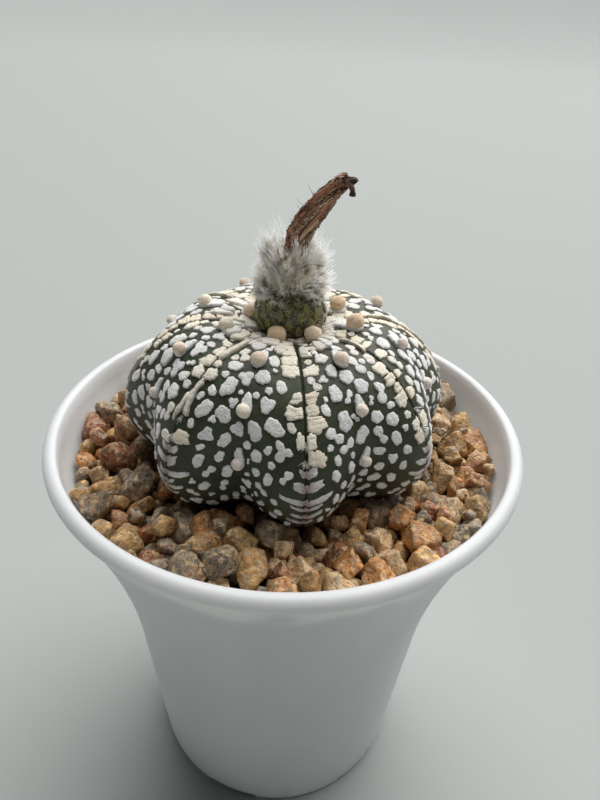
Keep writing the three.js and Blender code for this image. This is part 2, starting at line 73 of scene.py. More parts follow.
# %% Camera
MM = 0.001  # the lengths in this lesson are in millimetres, and Blender's are in metres
CAMERA_PLACE = (2.5, -97.1, 156.0)
CAMERA_PITCH = 33.06  # degrees below the horizon
CAMERA_ROLL = 2.87
LENS = 27.05  # focal length on a sensor 36 mm wide, which is Blender's own

camera = bpy.data.objects.new("camera", bpy.data.cameras.new("camera"))
camera.data.lens = LENS
camera.data.clip_start = 10 * MM
camera.matrix_world = (
    Matrix.Translation(Vector(CAMERA_PLACE) * MM)
    @ Matrix.Rotation(np.radians(90 - CAMERA_PITCH), 4, "X")
    @ Matrix.Rotation(np.radians(CAMERA_ROLL), 4, "Z")
)
bpy.context.scene.collection.objects.link(camera)
bpy.context.scene.camera = camera
bpy.context.scene.view_settings.view_transform = "Standard"
print("camera stands", round(np.hypot(*CAMERA_PLACE[:2])), "mm from the axis of the pot")

# %% [markdown]
# ## Points, faces and pieces
#
# Nearly everything here is a surface made of rings of points: the pot, the stem, each felt fleck, each
# hair. So a few small helpers are enough. They work on whole arrays of points at once, because a plant
# has thousands of small repeats and a loop over single points would be slow.

# %% Rings and faces


def polar(radius, azimuth, height):
    """Points from a radius, an azimuth in degrees round from the front, and a height."""
    angle = np.radians(azimuth)
    flat = np.broadcast_arrays(radius * np.sin(angle), -radius * np.cos(angle), height)
    return np.stack(flat, axis=-1)


def ring_faces(rings, count):
    """Quads between neighbouring closed rings, each with the same count of points."""
    ring, step = np.meshgrid(np.arange(rings - 1) * count, np.arange(count), indexing="ij")
    following = (step + 1) % count
    quads = [ring + step, ring + following, ring + count + following, ring + count + step]
    return np.stack(quads, axis=-1).reshape(-1, 4)


def fan_faces(first, count, tip, inward=False):
    """Triangles from a closed ring to one point at its middle."""
    here = first + np.arange(count)
    following = first + (np.arange(count) + 1) % count
    if inward:
        here, following = following, here
    return np.stack([here, following, np.full(count, tip)], axis=-1)


def repeated(faces, points_each, copies):
    """The same faces for many copies, whose points follow one another."""
    shift = np.arange(copies) * points_each
    return (faces[None] + shift[:, None, None]).reshape(-1, faces.shape[1])


# %% Pieces


def add_piece(name, points, faces, finish, slot, **attributes):
    """Makes one mesh piece, which rides on the part's only body.

    Each further keyword is an attribute with a value for every point, that the finish may read."""
    mesh = bpy.data.meshes.new(name)
    corners = [face for block in faces for face in block.tolist()]
    mesh.from_pydata((np.reshape(points, (-1, 3)) * MM).tolist(), [], corners)
    mesh.shade_smooth()
    for label, values in attributes.items():
        values = np.asarray(values, np.float32)
        if values.ndim == 1:
            mesh.attributes.new(label, "FLOAT", "POINT").data.foreach_set("value", values)
        else:
            layer = mesh.color_attributes.new(name=label, type="FLOAT_COLOR", domain="POINT")
            layer.data.foreach_set("color", np.c_[values, np.ones(len(values))].ravel())
    mesh.materials.append(finish)
    piece = bpy.data.objects.new(name, mesh)
    bpy.context.scene.collection.objects.link(piece)
    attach(piece, "root")
    triangles = sum(len(block) * (block.shape[1] - 2) for block in faces)
    print(f"{name}: {triangles} triangles")
    return piece


# %% [markdown]
# ## Uneven surfaces
#
# Nothing that grew or broke is smooth. Blender has noise textures for a material, but a shape needs a
# number for each point. A few plane waves that cross at random angles give a smooth random field, and a
# fixed seed makes it the same on each run.

# %% A random field


def ripples(points, wavelength, seed, waves=8):
    """A smooth random field of about -1 to 1, made of a few plane waves that cross."""
    draw = np.random.default_rng(seed)
    directions = draw.normal(size=(3, waves))
    directions /= np.linalg.norm(directions, axis=0)
    lengths = wavelength * draw.uniform(0.7, 1.6, waves)
    phases = draw.uniform(0, 2 * np.pi, waves)
    angles = points @ (directions * 2 * np.pi / lengths) + phases
    return np.sin(angles).mean(axis=-1) * 2


# %% [markdown]
# ## How a finish is made
#
# Each finish is a small network of shader nodes round one Principled shader. Helpers keep it short. The
# first of them adds a node and feeds its sockets, with a number or with the output of another node, and
# the others add the few kinds of node that every finish here is made of. Texture coordinates are the
# object's own, in metres, so a scale of so many grains to the millimetre is written as just that.

# %% Nodes
PER_MM = 1000


def tone(code):
    """A colour written as in a paint chart, in the linear numbers that a shader wants."""
    shares = np.array([int(code[i : i + 2], 16) for i in (1, 3, 5)]) / 255
    return tuple(np.where(shares <= 0.04045, shares / 12.92, ((shares + 0.055) / 1.055) ** 2.4))


def new_finish(name, **sockets):
    """A material, its node tree and its shader. A keyword sets the socket of that name."""
    material = bpy.data.materials.new(name)
    material.use_nodes = True
    shader = material.node_tree.nodes["Principled BSDF"]
    for socket, value in sockets.items():
        shader.inputs[socket.replace("_", " ").title().replace("Ior", "IOR")].default_value = value
    return material, material.node_tree, shader


def feed(tree, socket, value):
    """Sets a socket to a number or a colour, or links it to an output."""
    if isinstance(value, bpy.types.NodeSocket):
        tree.links.new(value, socket)
    elif isinstance(value, tuple) and len(value) == 3 and socket.type == "RGBA":
        socket.default_value = (*value, 1)
    else:
        socket.default_value = value


def node(tree, kind, output, sockets=None, **settings):
    """Adds a node, feeds its sockets and gives the output that is wanted."""
    made = tree.nodes.new("ShaderNode" + kind)
    for name, value in settings.items():
        setattr(made, name, value)
    for name, value in (sockets or {}).items():
        feed(tree, made.inputs[name], value)
    return made.outputs[output]


def blended(tree, share, first, second):
    """A colour between two others."""
    mix = tree.nodes.new("ShaderNodeMix")
    mix.data_type = "RGBA"
    feed(tree, mix.inputs[0], share)
    feed(tree, mix.inputs[6], first)
    feed(tree, mix.inputs[7], second)
    return mix.outputs[2]


def between(tree, value, low, high):
    """Where a value lies between two others, as a share from 0 to 1."""
    sockets = {"Value": value, "From Min": low, "From Max": high}
    return node(tree, "MapRange", "Result", sockets, interpolation_type="SMOOTHSTEP")


def times(tree, value, factor):
    """A value multiplied by another."""
    return node(tree, "Math", "Value", {0: value, 1: factor}, operation="MULTIPLY")


def place_on(tree):
    """Where a point lies on the object, in metres."""
    return node(tree, "TexCoord", "Object")


def height_on(tree):
    """How high a point lies on the object, in metres."""
    return node(tree, "SeparateXYZ", "Z", {"Vector": place_on(tree)})


def carried(tree, name, output="Fac"):
    """A value that the mesh carries for each of its points."""
    return node(tree, "Attribute", output, attribute_name=name)


def shaded(tree, colour, value, saturation=1.0):
    """A colour made darker, and richer if wanted."""
    sockets = {"Color": colour, "Value": value, "Saturation": saturation}
    return node(tree, "HueSaturation", "Color", sockets)


def noise(tree, per_mm, detail=3.0, stretch=(1, 1, 1)):
    """Cloudy noise with so many clouds to the millimetre."""
    place = place_on(tree)
    if stretch != (1, 1, 1):
        place = node(tree, "Mapping", "Vector", {"Vector": place, "Scale": stretch})
    sockets = {"Vector": place, "Scale": per_mm * PER_MM, "Detail": detail}
    return node(tree, "TexNoise", "Fac", sockets)


def cells(tree, per_mm, place):
    """Outputs of a texture with so many cells to the millimetre, each with a random colour of its own."""
    texture = tree.nodes.new("ShaderNodeTexVoronoi")
    feed(tree, texture.inputs["Scale"], per_mm * PER_MM)
    feed(tree, texture.inputs["Vector"], place)
    return texture.outputs


def relief(tree, shader, height, depth):
    """Bumps as deep as so many millimetres."""
    sockets = {"Height": height, "Distance": depth * MM}
    feed(tree, shader.inputs["Normal"], node(tree, "Bump", "Normal", sockets))


# %% [markdown]
# ## The pot
#
# The pot is blown or moulded from white plastic: a thin wall that leans out and then flares, a rolled lip
# and a foot ring with six low notches that let water out. A turned outline gives all of it but the
# notches. They could be cut with a Boolean, but the foot is a ring of points, so it is enough to lift
# the lowest points wherever a notch is.

# %% Outline of the pot
RIM_RADIUS = 45
POT_HEIGHT = 89.3
WALL_THICKNESS = 1.3
BASE_RADIUS = 29.9
WALL_LEAN = 0.075  # outward, per mm of height
FLARE_START = 40  # height above which the wall also curves outwards
FLARE = 0.00355
LIP_RADIUS = 1.5
LIP_DEPTH = 2.4  # from the rim down to the plain wall, in radii of the lip
LIP_TURN = (-62, 128)  # degrees round which the lip rolls
FLOOR_UNDERSIDE = 2
FLOOR_TOP = 3.3
FLOOR_FILLET = 0.6
FOOT_WIDTH = 2.4
FOOT_CHAMFER = {"width": 0.5, "height": 0.7}
NOTCH = {"count": 6, "first": -17, "width": 10.8, "height": 1.3}
WALL_ROWS = 34
LIP_ROWS = 16
POT_COLUMNS = 240


def wall_radius(height):
    """Radius of the outside of the pot's wall."""
    return BASE_RADIUS + WALL_LEAN * height + FLARE * np.maximum(0, height - FLARE_START) ** 2


wall_top = POT_HEIGHT - LIP_DEPTH * LIP_RADIUS
wall_heights = np.linspace(FLARE_START / 8, wall_top, WALL_ROWS)
chamfer = FOOT_CHAMFER["height"]
outside = [(wall_radius(z), z) for z in [chamfer, 2 * chamfer, *wall_heights]]
roll = np.radians(np.linspace(*LIP_TURN, LIP_ROWS))
lip = zip(
    RIM_RADIUS - LIP_RADIUS + LIP_RADIUS * np.cos(roll),
    POT_HEIGHT - LIP_RADIUS + LIP_RADIUS * np.sin(roll),
)
inside = [(wall_radius(z) - WALL_THICKNESS, z) for z in [*wall_heights[::-1], FLOOR_TOP + FLOOR_FILLET]]
floor_edge = wall_radius(FLOOR_TOP) - WALL_THICKNESS - FLOOR_FILLET
foot_inner = BASE_RADIUS - FOOT_WIDTH
foot = [(foot_inner, FLOOR_UNDERSIDE), (foot_inner, 0), (BASE_RADIUS - FOOT_CHAMFER["width"], 0)]
pot_outline = np.array([*foot, *outside, *lip, *inside, (floor_edge, FLOOR_TOP)])
print(f"pot outline: {len(pot_outline)} points, {2 * pot_outline[:, 0].max():.1f} mm across")

# %% Turn the outline and notch the foot
columns = np.linspace(0, 360, POT_COLUMNS, endpoint=False)
pot_points = polar(pot_outline[:, 0, None], columns, pot_outline[:, 1, None])
notch_pitch = 360 / NOTCH["count"]
from_notch = np.abs((columns - NOTCH["first"] + notch_pitch / 2) % notch_pitch - notch_pitch / 2)
in_notch = np.radians(from_notch) * BASE_RADIUS < NOTCH["width"] / 2
lifted = np.where(in_notch, NOTCH["height"], 0)
pot_points[:, :, 2] = np.maximum(pot_points[:, :, 2], lifted)
pot_faces = ring_faces(len(pot_outline), POT_COLUMNS)
print("notches in the foot:", NOTCH["count"])

# %% [markdown]
# The floor is a disc with seven drain holes, one of them in the middle. Blender can fill the space between
# several loops of edges at once, so the top and the underside of the floor are each filled between the
# foot and the holes.

# %% Floor with drain holes
HOLE_RADIUS = 2.5
HOLE_RING = 16
HOLE_COUNT = 6
HOLE_CORNERS = 32


def pierced_floor(height, rim_radius):
    """Points and triangles of a flat disc with the drain holes left open."""
    disc = bmesh.new()
    turn = np.linspace(0, 360, HOLE_CORNERS, endpoint=False)
    loops = [polar(rim_radius, columns, height)]
    for centre in [(0, 0, 0), *polar(HOLE_RING, np.arange(HOLE_COUNT) * 360 / HOLE_COUNT, 0)]:
        loops.append(polar(HOLE_RADIUS, turn, height) + centre)
    edges = []
    for loop in loops:
        corners = [disc.verts.new(point) for point in loop]
        edges += [disc.edges.new((a, b)) for a, b in zip(corners, corners[1:] + corners[:1])]
    bmesh.ops.triangle_fill(disc, use_beauty=True, edges=edges, normal=(0, 0, 1))
    disc.verts.index_update()
    points = np.array([corner.co[:] for corner in disc.verts])
    faces = np.array([[corner.index for corner in face.verts] for face in disc.faces])
    disc.free()
    return points, faces


top_points, top_faces = pierced_floor(FLOOR_TOP, floor_edge)
under_points, under_faces = pierced_floor(FLOOR_UNDERSIDE, foot_inner)
top_first = pot_points.shape[0] * POT_COLUMNS
under_first = top_first + len(top_points)
hole_walls = ring_faces(2, HOLE_CORNERS)
hole_faces = []
for hole in range(HOLE_COUNT + 1):  # from each hole's ring in the top to its ring in the underside
    ring = POT_COLUMNS + hole * HOLE_CORNERS
    upper = np.where(hole_walls < HOLE_CORNERS, top_first, under_first - HOLE_CORNERS)
    hole_faces.append(hole_walls + upper + ring)
pot_points = np.concatenate([pot_points.reshape(-1, 3), top_points, under_points])
floor_blocks = [top_faces + top_first, under_faces[:, ::-1] + under_first, np.concatenate(hole_faces)]
pot_blocks = [pot_faces, *floor_blocks]
print("drain holes:", HOLE_COUNT + 1)

# %% [markdown]
# White polypropylene is never quite opaque: light seeps through the thin wall, and the lip glows where
# the sky reaches it. A little subsurface light gives that. The wall has a satin gloss, faint flow marks
# from the mould, and a few dark specks of grit that have stuck to it.

# %% White plastic
PLASTIC = tone("#d2d3d4")
PLASTIC_SHADE = tone("#cacccd")
SPECK = tone("#4a4138")
PLASTIC_GLOW = (0.004, 0.0038, 0.0036)  # how far light creeps in the plastic, in metres
GRIT_PER_MM = 0.5
GRIT_EDGE = (0.07, 0.03)  # distances from a cell's middle between which its speck begins
GRIT_CHOSEN = (0.86, 0.87)  # cells whose random red lies above this carry a speck

plastic, tree, shader = new_finish(
    "white_plastic", roughness=0.47,
    subsurface_weight=0.8, subsurface_scale=1.0, subsurface_radius=PLASTIC_GLOW,
)
clouds = between(tree, noise(tree, 0.05, 2, (1, 1, 0.4)), 0.3, 0.7)
grit = cells(tree, GRIT_PER_MM, place_on(tree))
close = between(tree, grit["Distance"], *GRIT_EDGE)
rare = between(tree, node(tree, "SeparateColor", "Red", {"Color": grit["Color"]}), *GRIT_CHOSEN)
speck = times(tree, close, rare)
plastic_colour = blended(tree, clouds, PLASTIC, PLASTIC_SHADE)
feed(tree, shader.inputs["Base Color"], blended(tree, speck, plastic_colour, SPECK))
relief(tree, shader, noise(tree, 0.6, 4, (1, 1, 0.25)), 0.02)

pot = add_piece("pot_shell", pot_points, pot_blocks, plastic, "white_plastic")
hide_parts("pot")

# %% [markdown]
# ## The skin of the cactus
#
# The stem is one swollen body with eight broad lobes. Between the lobes run narrow valleys, and down the
# middle of each lobe runs a thin seam. Two side outlines say all of it: one along a crest, one along a
# valley. Going round, the surface swings between the two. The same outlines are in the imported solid, so
# the fine skin lies on the coarse one.

# %% The two outlines
LOBE_COUNT = 8
FIRST_LOBE = 8  # azimuth of the lobe that faces the front
LOBE_SHARPNESS = 0.8
CROWN_SEAT = 107
ROOT_TIP = 52
CREST_OUTLINE = [
    (4.4, 107.2), (9.5, 109.3), (15, 109.6), (20, 108.1), (24.3, 104.8), (27.6, 100.6), (29.6, 96.2),
    (30, 91.8), (28.6, 88), (26.6, 85.4), (21, 81.9), (13, 79.6), (7.5, 76.5), (5.4, 69), (3.2, 60),
]
VALLEY_OUTLINE = [
    (4.4, 107.2), (9.3, 109.8), (14.8, 110.1), (19.6, 108.2), (23.1, 104.8), (25.2, 100.3), (25.8, 96),
    (24.9, 92), (23.4, 88.4), (21.6, 85.6), (17.6, 82.4), (12.4, 79.8), (7.5, 76.5), (5.4, 69), (3.2, 60),
]


def smooth_path(corners, along):
    """Points of a smooth curve through the corners, for shares of the way from 0 to 1."""
    corners = np.array(corners, float)
    last = len(corners) - 1
    place = np.clip(along, 0, 1) * last
    at = place.astype(int)
    share = (place - at)[..., None]
    before, start, end, after = (corners[np.clip(at + step, 0, last)] for step in (-1, 0, 1, 2))
    leave, arrive = (end - before) / 2, (after - start) / 2
    cubic = 2 * start - 2 * end + leave + arrive
    square = -3 * start + 3 * end - 2 * leave - arrive
    return ((cubic * share + square) * share + leave) * share + start


def skin_point(along, azimuth):
    """Points of the skin, from a share of the way down and an azimuth."""
    along, azimuth = np.broadcast_arrays(np.asarray(along, float), azimuth)
    wave = 0.5 + 0.5 * np.cos(np.radians(LOBE_COUNT * (azimuth - FIRST_LOBE)))
    lobe = (np.clip(wave, 0, 1) ** LOBE_SHARPNESS)[..., None]
    section = smooth_path(VALLEY_OUTLINE, along) * (1 - lobe) + smooth_path(CREST_OUTLINE, along) * lobe
    return polar(section[..., 0], azimuth, section[..., 1])


# %% [markdown]
# Everything that grows on the skin needs to know three directions at its root: down the slope, around,
# and straight out. They come from neighbouring points. The same steps say how many millimetres one
# share of the way or one degree is, so that a fleck can be drawn flat in millimetres and then laid on.

# %% Directions on the skin
TINY = 0.004  # a short step, as a share of the way down


def unit(vectors):
    """Vectors of length one that point the same way."""
    return vectors / np.linalg.norm(vectors, axis=-1, keepdims=True)


def skin_slopes(along, azimuth):
    """How the skin's point moves with the share of the way, and with each degree round."""
    down = (skin_point(along + TINY, azimuth) - skin_point(along - TINY, azimuth)) / (2 * TINY)
    around = skin_point(along, azimuth + 0.5) - skin_point(along, azimuth - 0.5)
    return down, around


def raised_skin(along, azimuth, height):
    """Points a distance out from the skin."""
    down, around = skin_slopes(along, azimuth)
    return skin_point(along, azimuth) + unit(np.cross(down, around)) * np.asarray(height)[..., None]


def on_skin(along, azimuth, down, aside, height):
    """Points some millimetres down and aside of a place on the skin, and raised from it."""
    slope, around = (np.linalg.norm(step, axis=-1) for step in skin_slopes(along, azimuth))
    lower = np.maximum(along + down / slope, 2 * TINY)  # nothing reaches over the middle of the crown
    return raised_skin(lower, azimuth + aside / around, height)


# %% [markdown]
# The mesh of the skin has more lines near each crest, where the seam is only a third of a millimetre
# wide, and fewer on the flanks. The flesh between is a little uneven, as if it had grown in pulses.

# %% Mesh of the skin
HALF_LOBE_LINES = 14
LINE_CROWDING = 2.0  # above 1 the lines crowd towards the crest
ROWS_ABOVE = 120
ROWS_BELOW = 18
TOP_ROW, BOTTOM_ROW = 0.004, 0.995  # shares of the way down
GRAVEL_SHARE = 0.66  # of the way down, where the skin has passed into the gravel
SEAM_DEPTH = 0.4
SEAM_WIDTH = 0.15
SEAM_FOOT = (82, 86)  # heights between which the seams run out in the gravel
SEAM_HEAD = (0.02, 0.1)  # and the shares of the way down between which they start
PULSE = {"length": 8, "height": 0.1}
WRINKLE = {"length": 1.6, "height": 0.03}


def ramp(value, low, high):
    """Where a value lies on the way from one to another, from 0 to 1."""
    return np.clip((value - low) / (high - low), 0, 1)


def tipped_tube(rings, count):
    """Faces of a row of rings that ends in a point on either side. The two points come last."""
    tip = rings * count
    ends = fan_faces(0, count, tip, inward=True), fan_faces(tip - count, count, tip + 1)
    return [ring_faces(rings, count), *ends]


half = 360 / LOBE_COUNT / 2
crest_offsets = half * np.linspace(0, 1, HALF_LOBE_LINES + 1) ** LINE_CROWDING
lobe_offsets = np.concatenate([-crest_offsets[-2:0:-1], crest_offsets])
crests = FIRST_LOBE + np.arange(LOBE_COUNT) * 360 / LOBE_COUNT
azimuths = (crests[:, None] + lobe_offsets).ravel()
offsets = np.tile(np.abs(lobe_offsets), LOBE_COUNT)
shares = np.concatenate([
    np.linspace(BOTTOM_ROW, GRAVEL_SHARE, ROWS_BELOW, endpoint=False),
    np.linspace(GRAVEL_SHARE, TOP_ROW, ROWS_ABOVE),
])
bare = skin_point(shares[:, None], azimuths)
aside = np.radians(offsets) * np.hypot(bare[..., 0], bare[..., 1])
shown = ramp(bare[..., 2], *SEAM_FOOT) * ramp(shares[:, None], *SEAM_HEAD)
heights = (
    -SEAM_DEPTH * np.exp(-((aside / SEAM_WIDTH) ** 2)) * shown
    + PULSE["height"] * ripples(bare, PULSE["length"], 1)
    + WRINKLE["height"] * ripples(bare, WRINKLE["length"], 2)
)
skin_rows = raised_skin(shares[:, None], azimuths, heights).reshape(-1, 3)
skin_points = np.concatenate([skin_rows, [(0, 0, ROOT_TIP), (0, 0, CROWN_SEAT)]])
skin_blocks = tipped_tube(len(shares), len(azimuths))
print(f"skin: {len(shares)} rows of {len(azimuths)} points")

# %% [markdown]
# The flesh is a dull grey-green with a thin wax bloom, in darker and lighter patches, and peppered with
# pale pores far too small to model. Close to the gravel it turns browner, as cork, and darker, which is
# painted shade under the widest part of the stem. Two noises of different grain carry the colour, and
# the height of a point brings in the cork and the painted shade. The wax is a soft, wide gloss.

# %% Green skin
SKIN_GREEN = tone("#404631")
SKIN_DARK = tone("#2f3423")
SKIN_PORE = tone("#59614d")
SKIN_CORK_AND_SHADE = tone("#3b3628")
CORK_AND_SHADE_BAND = (92, 83)  # heights between which the skin turns to cork and to painted shade towards the gravel

skin_finish, tree, shader = new_finish("cactus_skin", roughness=0.55, specular_ior_level=0.35)
patches = between(tree, noise(tree, 0.12, 3), 0.35, 0.65)
green = blended(tree, patches, SKIN_GREEN, SKIN_DARK)
pores = between(tree, noise(tree, 4.5, 2), 0.62, 0.72)
green = blended(tree, pores, green, SKIN_PORE)
# painted shade and cork: towards the gravel the skin turns darker and browner
cork_and_shade = between(tree, height_on(tree), *(height * MM for height in CORK_AND_SHADE_BAND))
feed(tree, shader.inputs["Base Color"], blended(tree, cork_and_shade, green, SKIN_CORK_AND_SHADE))
relief(tree, shader, noise(tree, 3.0, 4), 0.06)

skin = add_piece("cactus_skin", skin_points, skin_blocks, skin_finish, "cactus_skin")
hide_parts("cactus_body")

# %% [markdown]
# ## Felt flecks
#
# A fleck is a tuft of short white hairs, matted into a low pad with a ragged edge. A particle system
# could grow the hairs, but they are finer than a pixel, and an export keeps only meshes. So each fleck
# is a low dome: five rings from its edge to its top, drawn flat and then laid on the skin.
#
# The outlines come from round blobs that melt together. One blob is a dot, two make an oval or a bean,
# three make a clover. That is also how the real ones form, from tufts that run into each other.

# %% Outlines from melted blobs
OUTLINE_POINTS = 26
OUTLINE_TURN = np.linspace(0, 2 * np.pi, OUTLINE_POINTS, endpoint=False)
OUTLINE_RAYS = np.stack([np.cos(OUTLINE_TURN), np.sin(OUTLINE_TURN)], axis=-1)
BLOB_FALL = 2.0  # how fast a blob's strength falls off
BLOB_WAIST = 0.45  # the thinnest that a bridge between two blobs can be, as a share of their radius
NO_RADIUS = 1e-6  # stands in for the radius of a blob that isn't there
RAY_REACH = 2.5  # how far out a blob's edge is looked for, in radii
RAY_STEPS = 90
RAGGED = {"slow": 0.05, "fast": 0.08}


def nicks(count, draw, ragged=1.0):
    """Shares by which the points of so many outlines move in or out, so that no edge is smooth."""
    waves = 0
    for beats in (3, 5):
        waves = waves + np.sin(beats * OUTLINE_TURN + draw.uniform(0, 2 * np.pi, (count, 1)))
    fast = draw.uniform(-RAGGED["fast"], RAGGED["fast"], (count, OUTLINE_POINTS))
    return 1 + ragged * (RAGGED["slow"] * waves + fast)


def melted_outlines(centres, radii, draw):
    """The ring round each group of blobs, from blob centres (group, blob, 2) and radii (group, blob)."""
    reach = np.linspace(0, RAY_REACH * radii.sum(axis=1).max(), RAY_STEPS)
    samples = OUTLINE_RAYS[:, None] * reach[:, None]
    apart = samples[None, :, :, None] - centres[:, None, None]
    squares = (apart**2).sum(-1) / np.maximum(radii, NO_RADIUS)[:, None, None] ** 2
    field = (np.exp(-BLOB_FALL * squares) * (radii > 0)[:, None, None]).sum(-1)
    inside = field > np.exp(-BLOB_FALL)
    furthest = np.where(inside.any(axis=2), len(reach) - 1 - np.argmax(inside[:, :, ::-1], axis=2), 0)
    waist = BLOB_WAIST * radii.max(axis=1)[:, None]
    edge = np.maximum(reach[furthest], waist) * nicks(len(radii), draw)
    return OUTLINE_RAYS * edge[..., None]


def squared_outlines(lengths, widths, draw, roundness=4.0, skew=0.0, ragged=1.0):
    """Rings like worn tiles, from lengths down the slope and widths across it.

    With a skew each becomes a random rhombus, and its two halves differ in width."""
    corner = np.sign(OUTLINE_RAYS) * np.abs(OUTLINE_RAYS) ** (2 / roundness)
    size = np.stack([lengths, widths], axis=-1)[:, None] / 2
    ring = corner * size * nicks(len(lengths), draw, ragged)[..., None]
    slant, taper = skew * draw.uniform(-1, 1, (2, len(lengths), 1))
    down = ring[..., 0] + slant * ring[..., 1]
    aside = ring[..., 1] * (1 + taper * corner[..., 0])
    return np.stack([down, aside], axis=-1)


# %% Domes on a surface
# How far out and how high each ring lies, as shares of the outline and of the dome's rise
DOME = np.array([(1.0, -0.35), (1.03, 0.4), (0.95, 0.85), (0.76, 1.0), (0.4, 1.03), (0, 1.04)])
DOME_PAINTED_SHADE = np.array([0.62, 0.74, 0.93, 1, 1, 1])  # painted shade: each pad is darker towards its foot, where shadow falls
DOME_RINGS = len(DOME) - 1
DOME_POINTS = DOME_RINGS * OUTLINE_POINTS + 1
LUMPS = {"length": 0.75, "height": 0.06}


def flat_points(outlines):
    """Where the points of each dome lie in its own plane: how far down, and how far aside."""
    rings = outlines[:, None] * DOME[:-1, 0, None, None]
    return np.concatenate([rings.reshape(len(outlines), -1, 2), np.zeros((len(outlines), 1, 2))], axis=1)


def dome_points(surface, first, second, outlines, rises, seed):
    """Domes at places of a surface, as an array of (dome, point, 3)."""
    flat = flat_points(outlines)
    level = np.append(np.repeat(DOME[:-1, 1], OUTLINE_POINTS), DOME[-1, 1])
    place = [np.asarray(each)[:, None] for each in (first, second)]
    height = rises[:, None] * level
    lie = surface(*place, flat[..., 0], flat[..., 1], height)
    lumps = LUMPS["height"] * ripples(lie, LUMPS["length"], seed) * (level > 0.5)  # none at the foot
    return surface(*place, flat[..., 0], flat[..., 1], height + lumps)


def dome_faces(copies):
    """Faces for so many domes."""
    sides = repeated(ring_faces(DOME_RINGS, OUTLINE_POINTS), DOME_POINTS, copies)
    cap = fan_faces((DOME_RINGS - 1) * OUTLINE_POINTS, OUTLINE_POINTS, DOME_POINTS - 1)
    return [sides, repeated(cap, DOME_POINTS, copies)]


def dome_tints(tints):
    """A colour for every point of each dome, with painted shade at the foot."""
    shade = np.append(np.repeat(DOME_PAINTED_SHADE[:-1], OUTLINE_POINTS), DOME_PAINTED_SHADE[-1])
    return (tints[:, None] * shade[:, None]).reshape(-1, 3)


# %% [markdown]
# ## Felt
#
# Under a lens the felt is a mat of curled hairs: dead white, without gloss, and full of tiny shadows. The
# little hollows between the hairs come from bumps and from painted shade, a darker tone in the same places,
# and each fleck has its own tint, which the finish reads from the mesh. The cream felt of the seams has split
# crosswise as the lobe swelled. Its finish squeezes the noise along the slope, which makes ridges.

# %% Felt finishes
FELT_WHITE = np.array(tone("#f3f2f0"))
FELT_CREAM = np.array(tone("#f6efdd"))
FELT_TAN = np.array(tone("#e2c3a1"))
FELT_STAIN = np.array(tone("#8f6f5f"))
SPLITS_PER_MM = 2.2


def felt_finish(name, hollow_depth, ridge_depth=0.0):
    """Matted felt with bumped hollows that carry painted shade, and with ridges across the slope if they have
    a depth.
    """
    material, tree, shader = new_finish(name, roughness=0.95, sheen_weight=0.2, specular_ior_level=0.1)
    tint = carried(tree, "tint", "Color")
    mat = noise(tree, 3.2, 5)
    depth = hollow_depth
    if ridge_depth:
        squeezed = times(tree, carried(tree, "down"), SPLITS_PER_MM)
        slow = {"Vector": place_on(tree), "Scale": (0.3 * PER_MM,) * 3}
        place = node(tree, "VectorMath", "Vector", {
            0: node(tree, "Mapping", "Vector", slow),
            1: node(tree, "CombineXYZ", "Vector", {"X": squeezed}),
        }, operation="ADD")
        ridges = node(tree, "TexNoise", "Fac", {"Vector": place, "Scale": 1.0, "Detail": 1.0})
        mat = times(tree, node(tree, "Math", "Value", {0: mat, 1: ridges}, operation="ADD"), 0.5)
        depth = ridge_depth
    # painted shade: the hollows of the felt take a darker tone
    hollow_shade = between(tree, mat, 0.5, 0.33)
    darker = shaded(tree, tint, 0.7, 1.2)
    feed(tree, shader.inputs["Base Color"], blended(tree, hollow_shade, tint, darker))
    relief(tree, shader, mat, depth)
    return material


felt = felt_finish("felt", 0.2)
split_felt = felt_finish("split_felt", 0.2, 0.4)
smooth_felt = felt_finish("smooth_felt", 0.06)

# %% [markdown]
# ## Walking down the skin
#
# Areoles and seam tiles stand in lines that run from the crown to the gravel, a distance apart. The walk
# adds up the length of short steps, and then looks up where a distance falls.

# %% Walks
WALK = np.linspace(0, 0.7, 701)  # shares of the way down
OUTER_SLOPE = 0.2  # of the way down, where the flat crown ends and the skin begins to fall


def walk_down(azimuth):
    """Points of one line down the skin, and the distance walked to each."""
    line = skin_point(WALK, azimuth)
    steps = np.linalg.norm(np.diff(line, axis=0), axis=1)
    return line, np.append(0, np.cumsum(steps))


def along_at(azimuth, height):
    """Share of the way down at which a line passes a height, on the outer slope."""
    line, _ = walk_down(azimuth)
    outer = WALK > OUTER_SLOPE
    return np.interp(-height, -line[outer, 2], WALK[outer])


# %% [markdown]
# ## Areoles
#
# An areole is the bud from which a cactus bears its spines. A star cactus has none, only a ball of tan
# wool, with a white tail of felt that points to the crown. The balls sit in the valleys, in rows that
# start anew in every valley, and are larger and browner near the crown. The tail is a melted dome of four
# blobs in a line, and the ball is a sphere sunk into its lower end. A ring is drawn evenly only if its
# middle lies in the middle of the shape, so the tail's own place is a little way up the slope from the
# ball.

# %% Places of the areoles
AREOLE_START = 3.9
AREOLE_SPACING = 8.4
AREOLE_LOWEST = 89
AREOLE_PHASE = [0.05, 0.1, 0.5, 0.3, 0.65, 0.35, 0, 0.55]  # share of the spacing, by row
TAIL_SHIFT = 1.15  # how far up the slope from the ball the middle of the tail lies
AREOLE_BLOBS = np.array([(1.3, 0), (0.2, 0.1), (-0.7, 0.2), (-1.5, 0.3)])
AREOLE_BLOB_RADII = np.array([1.12, 1.0, 0.8, 0.6])
CROWN_RADII = (26, 10)  # distances from the axis between which areoles grow larger and browner
CROWN_FOOT = 100  # height below which they don't

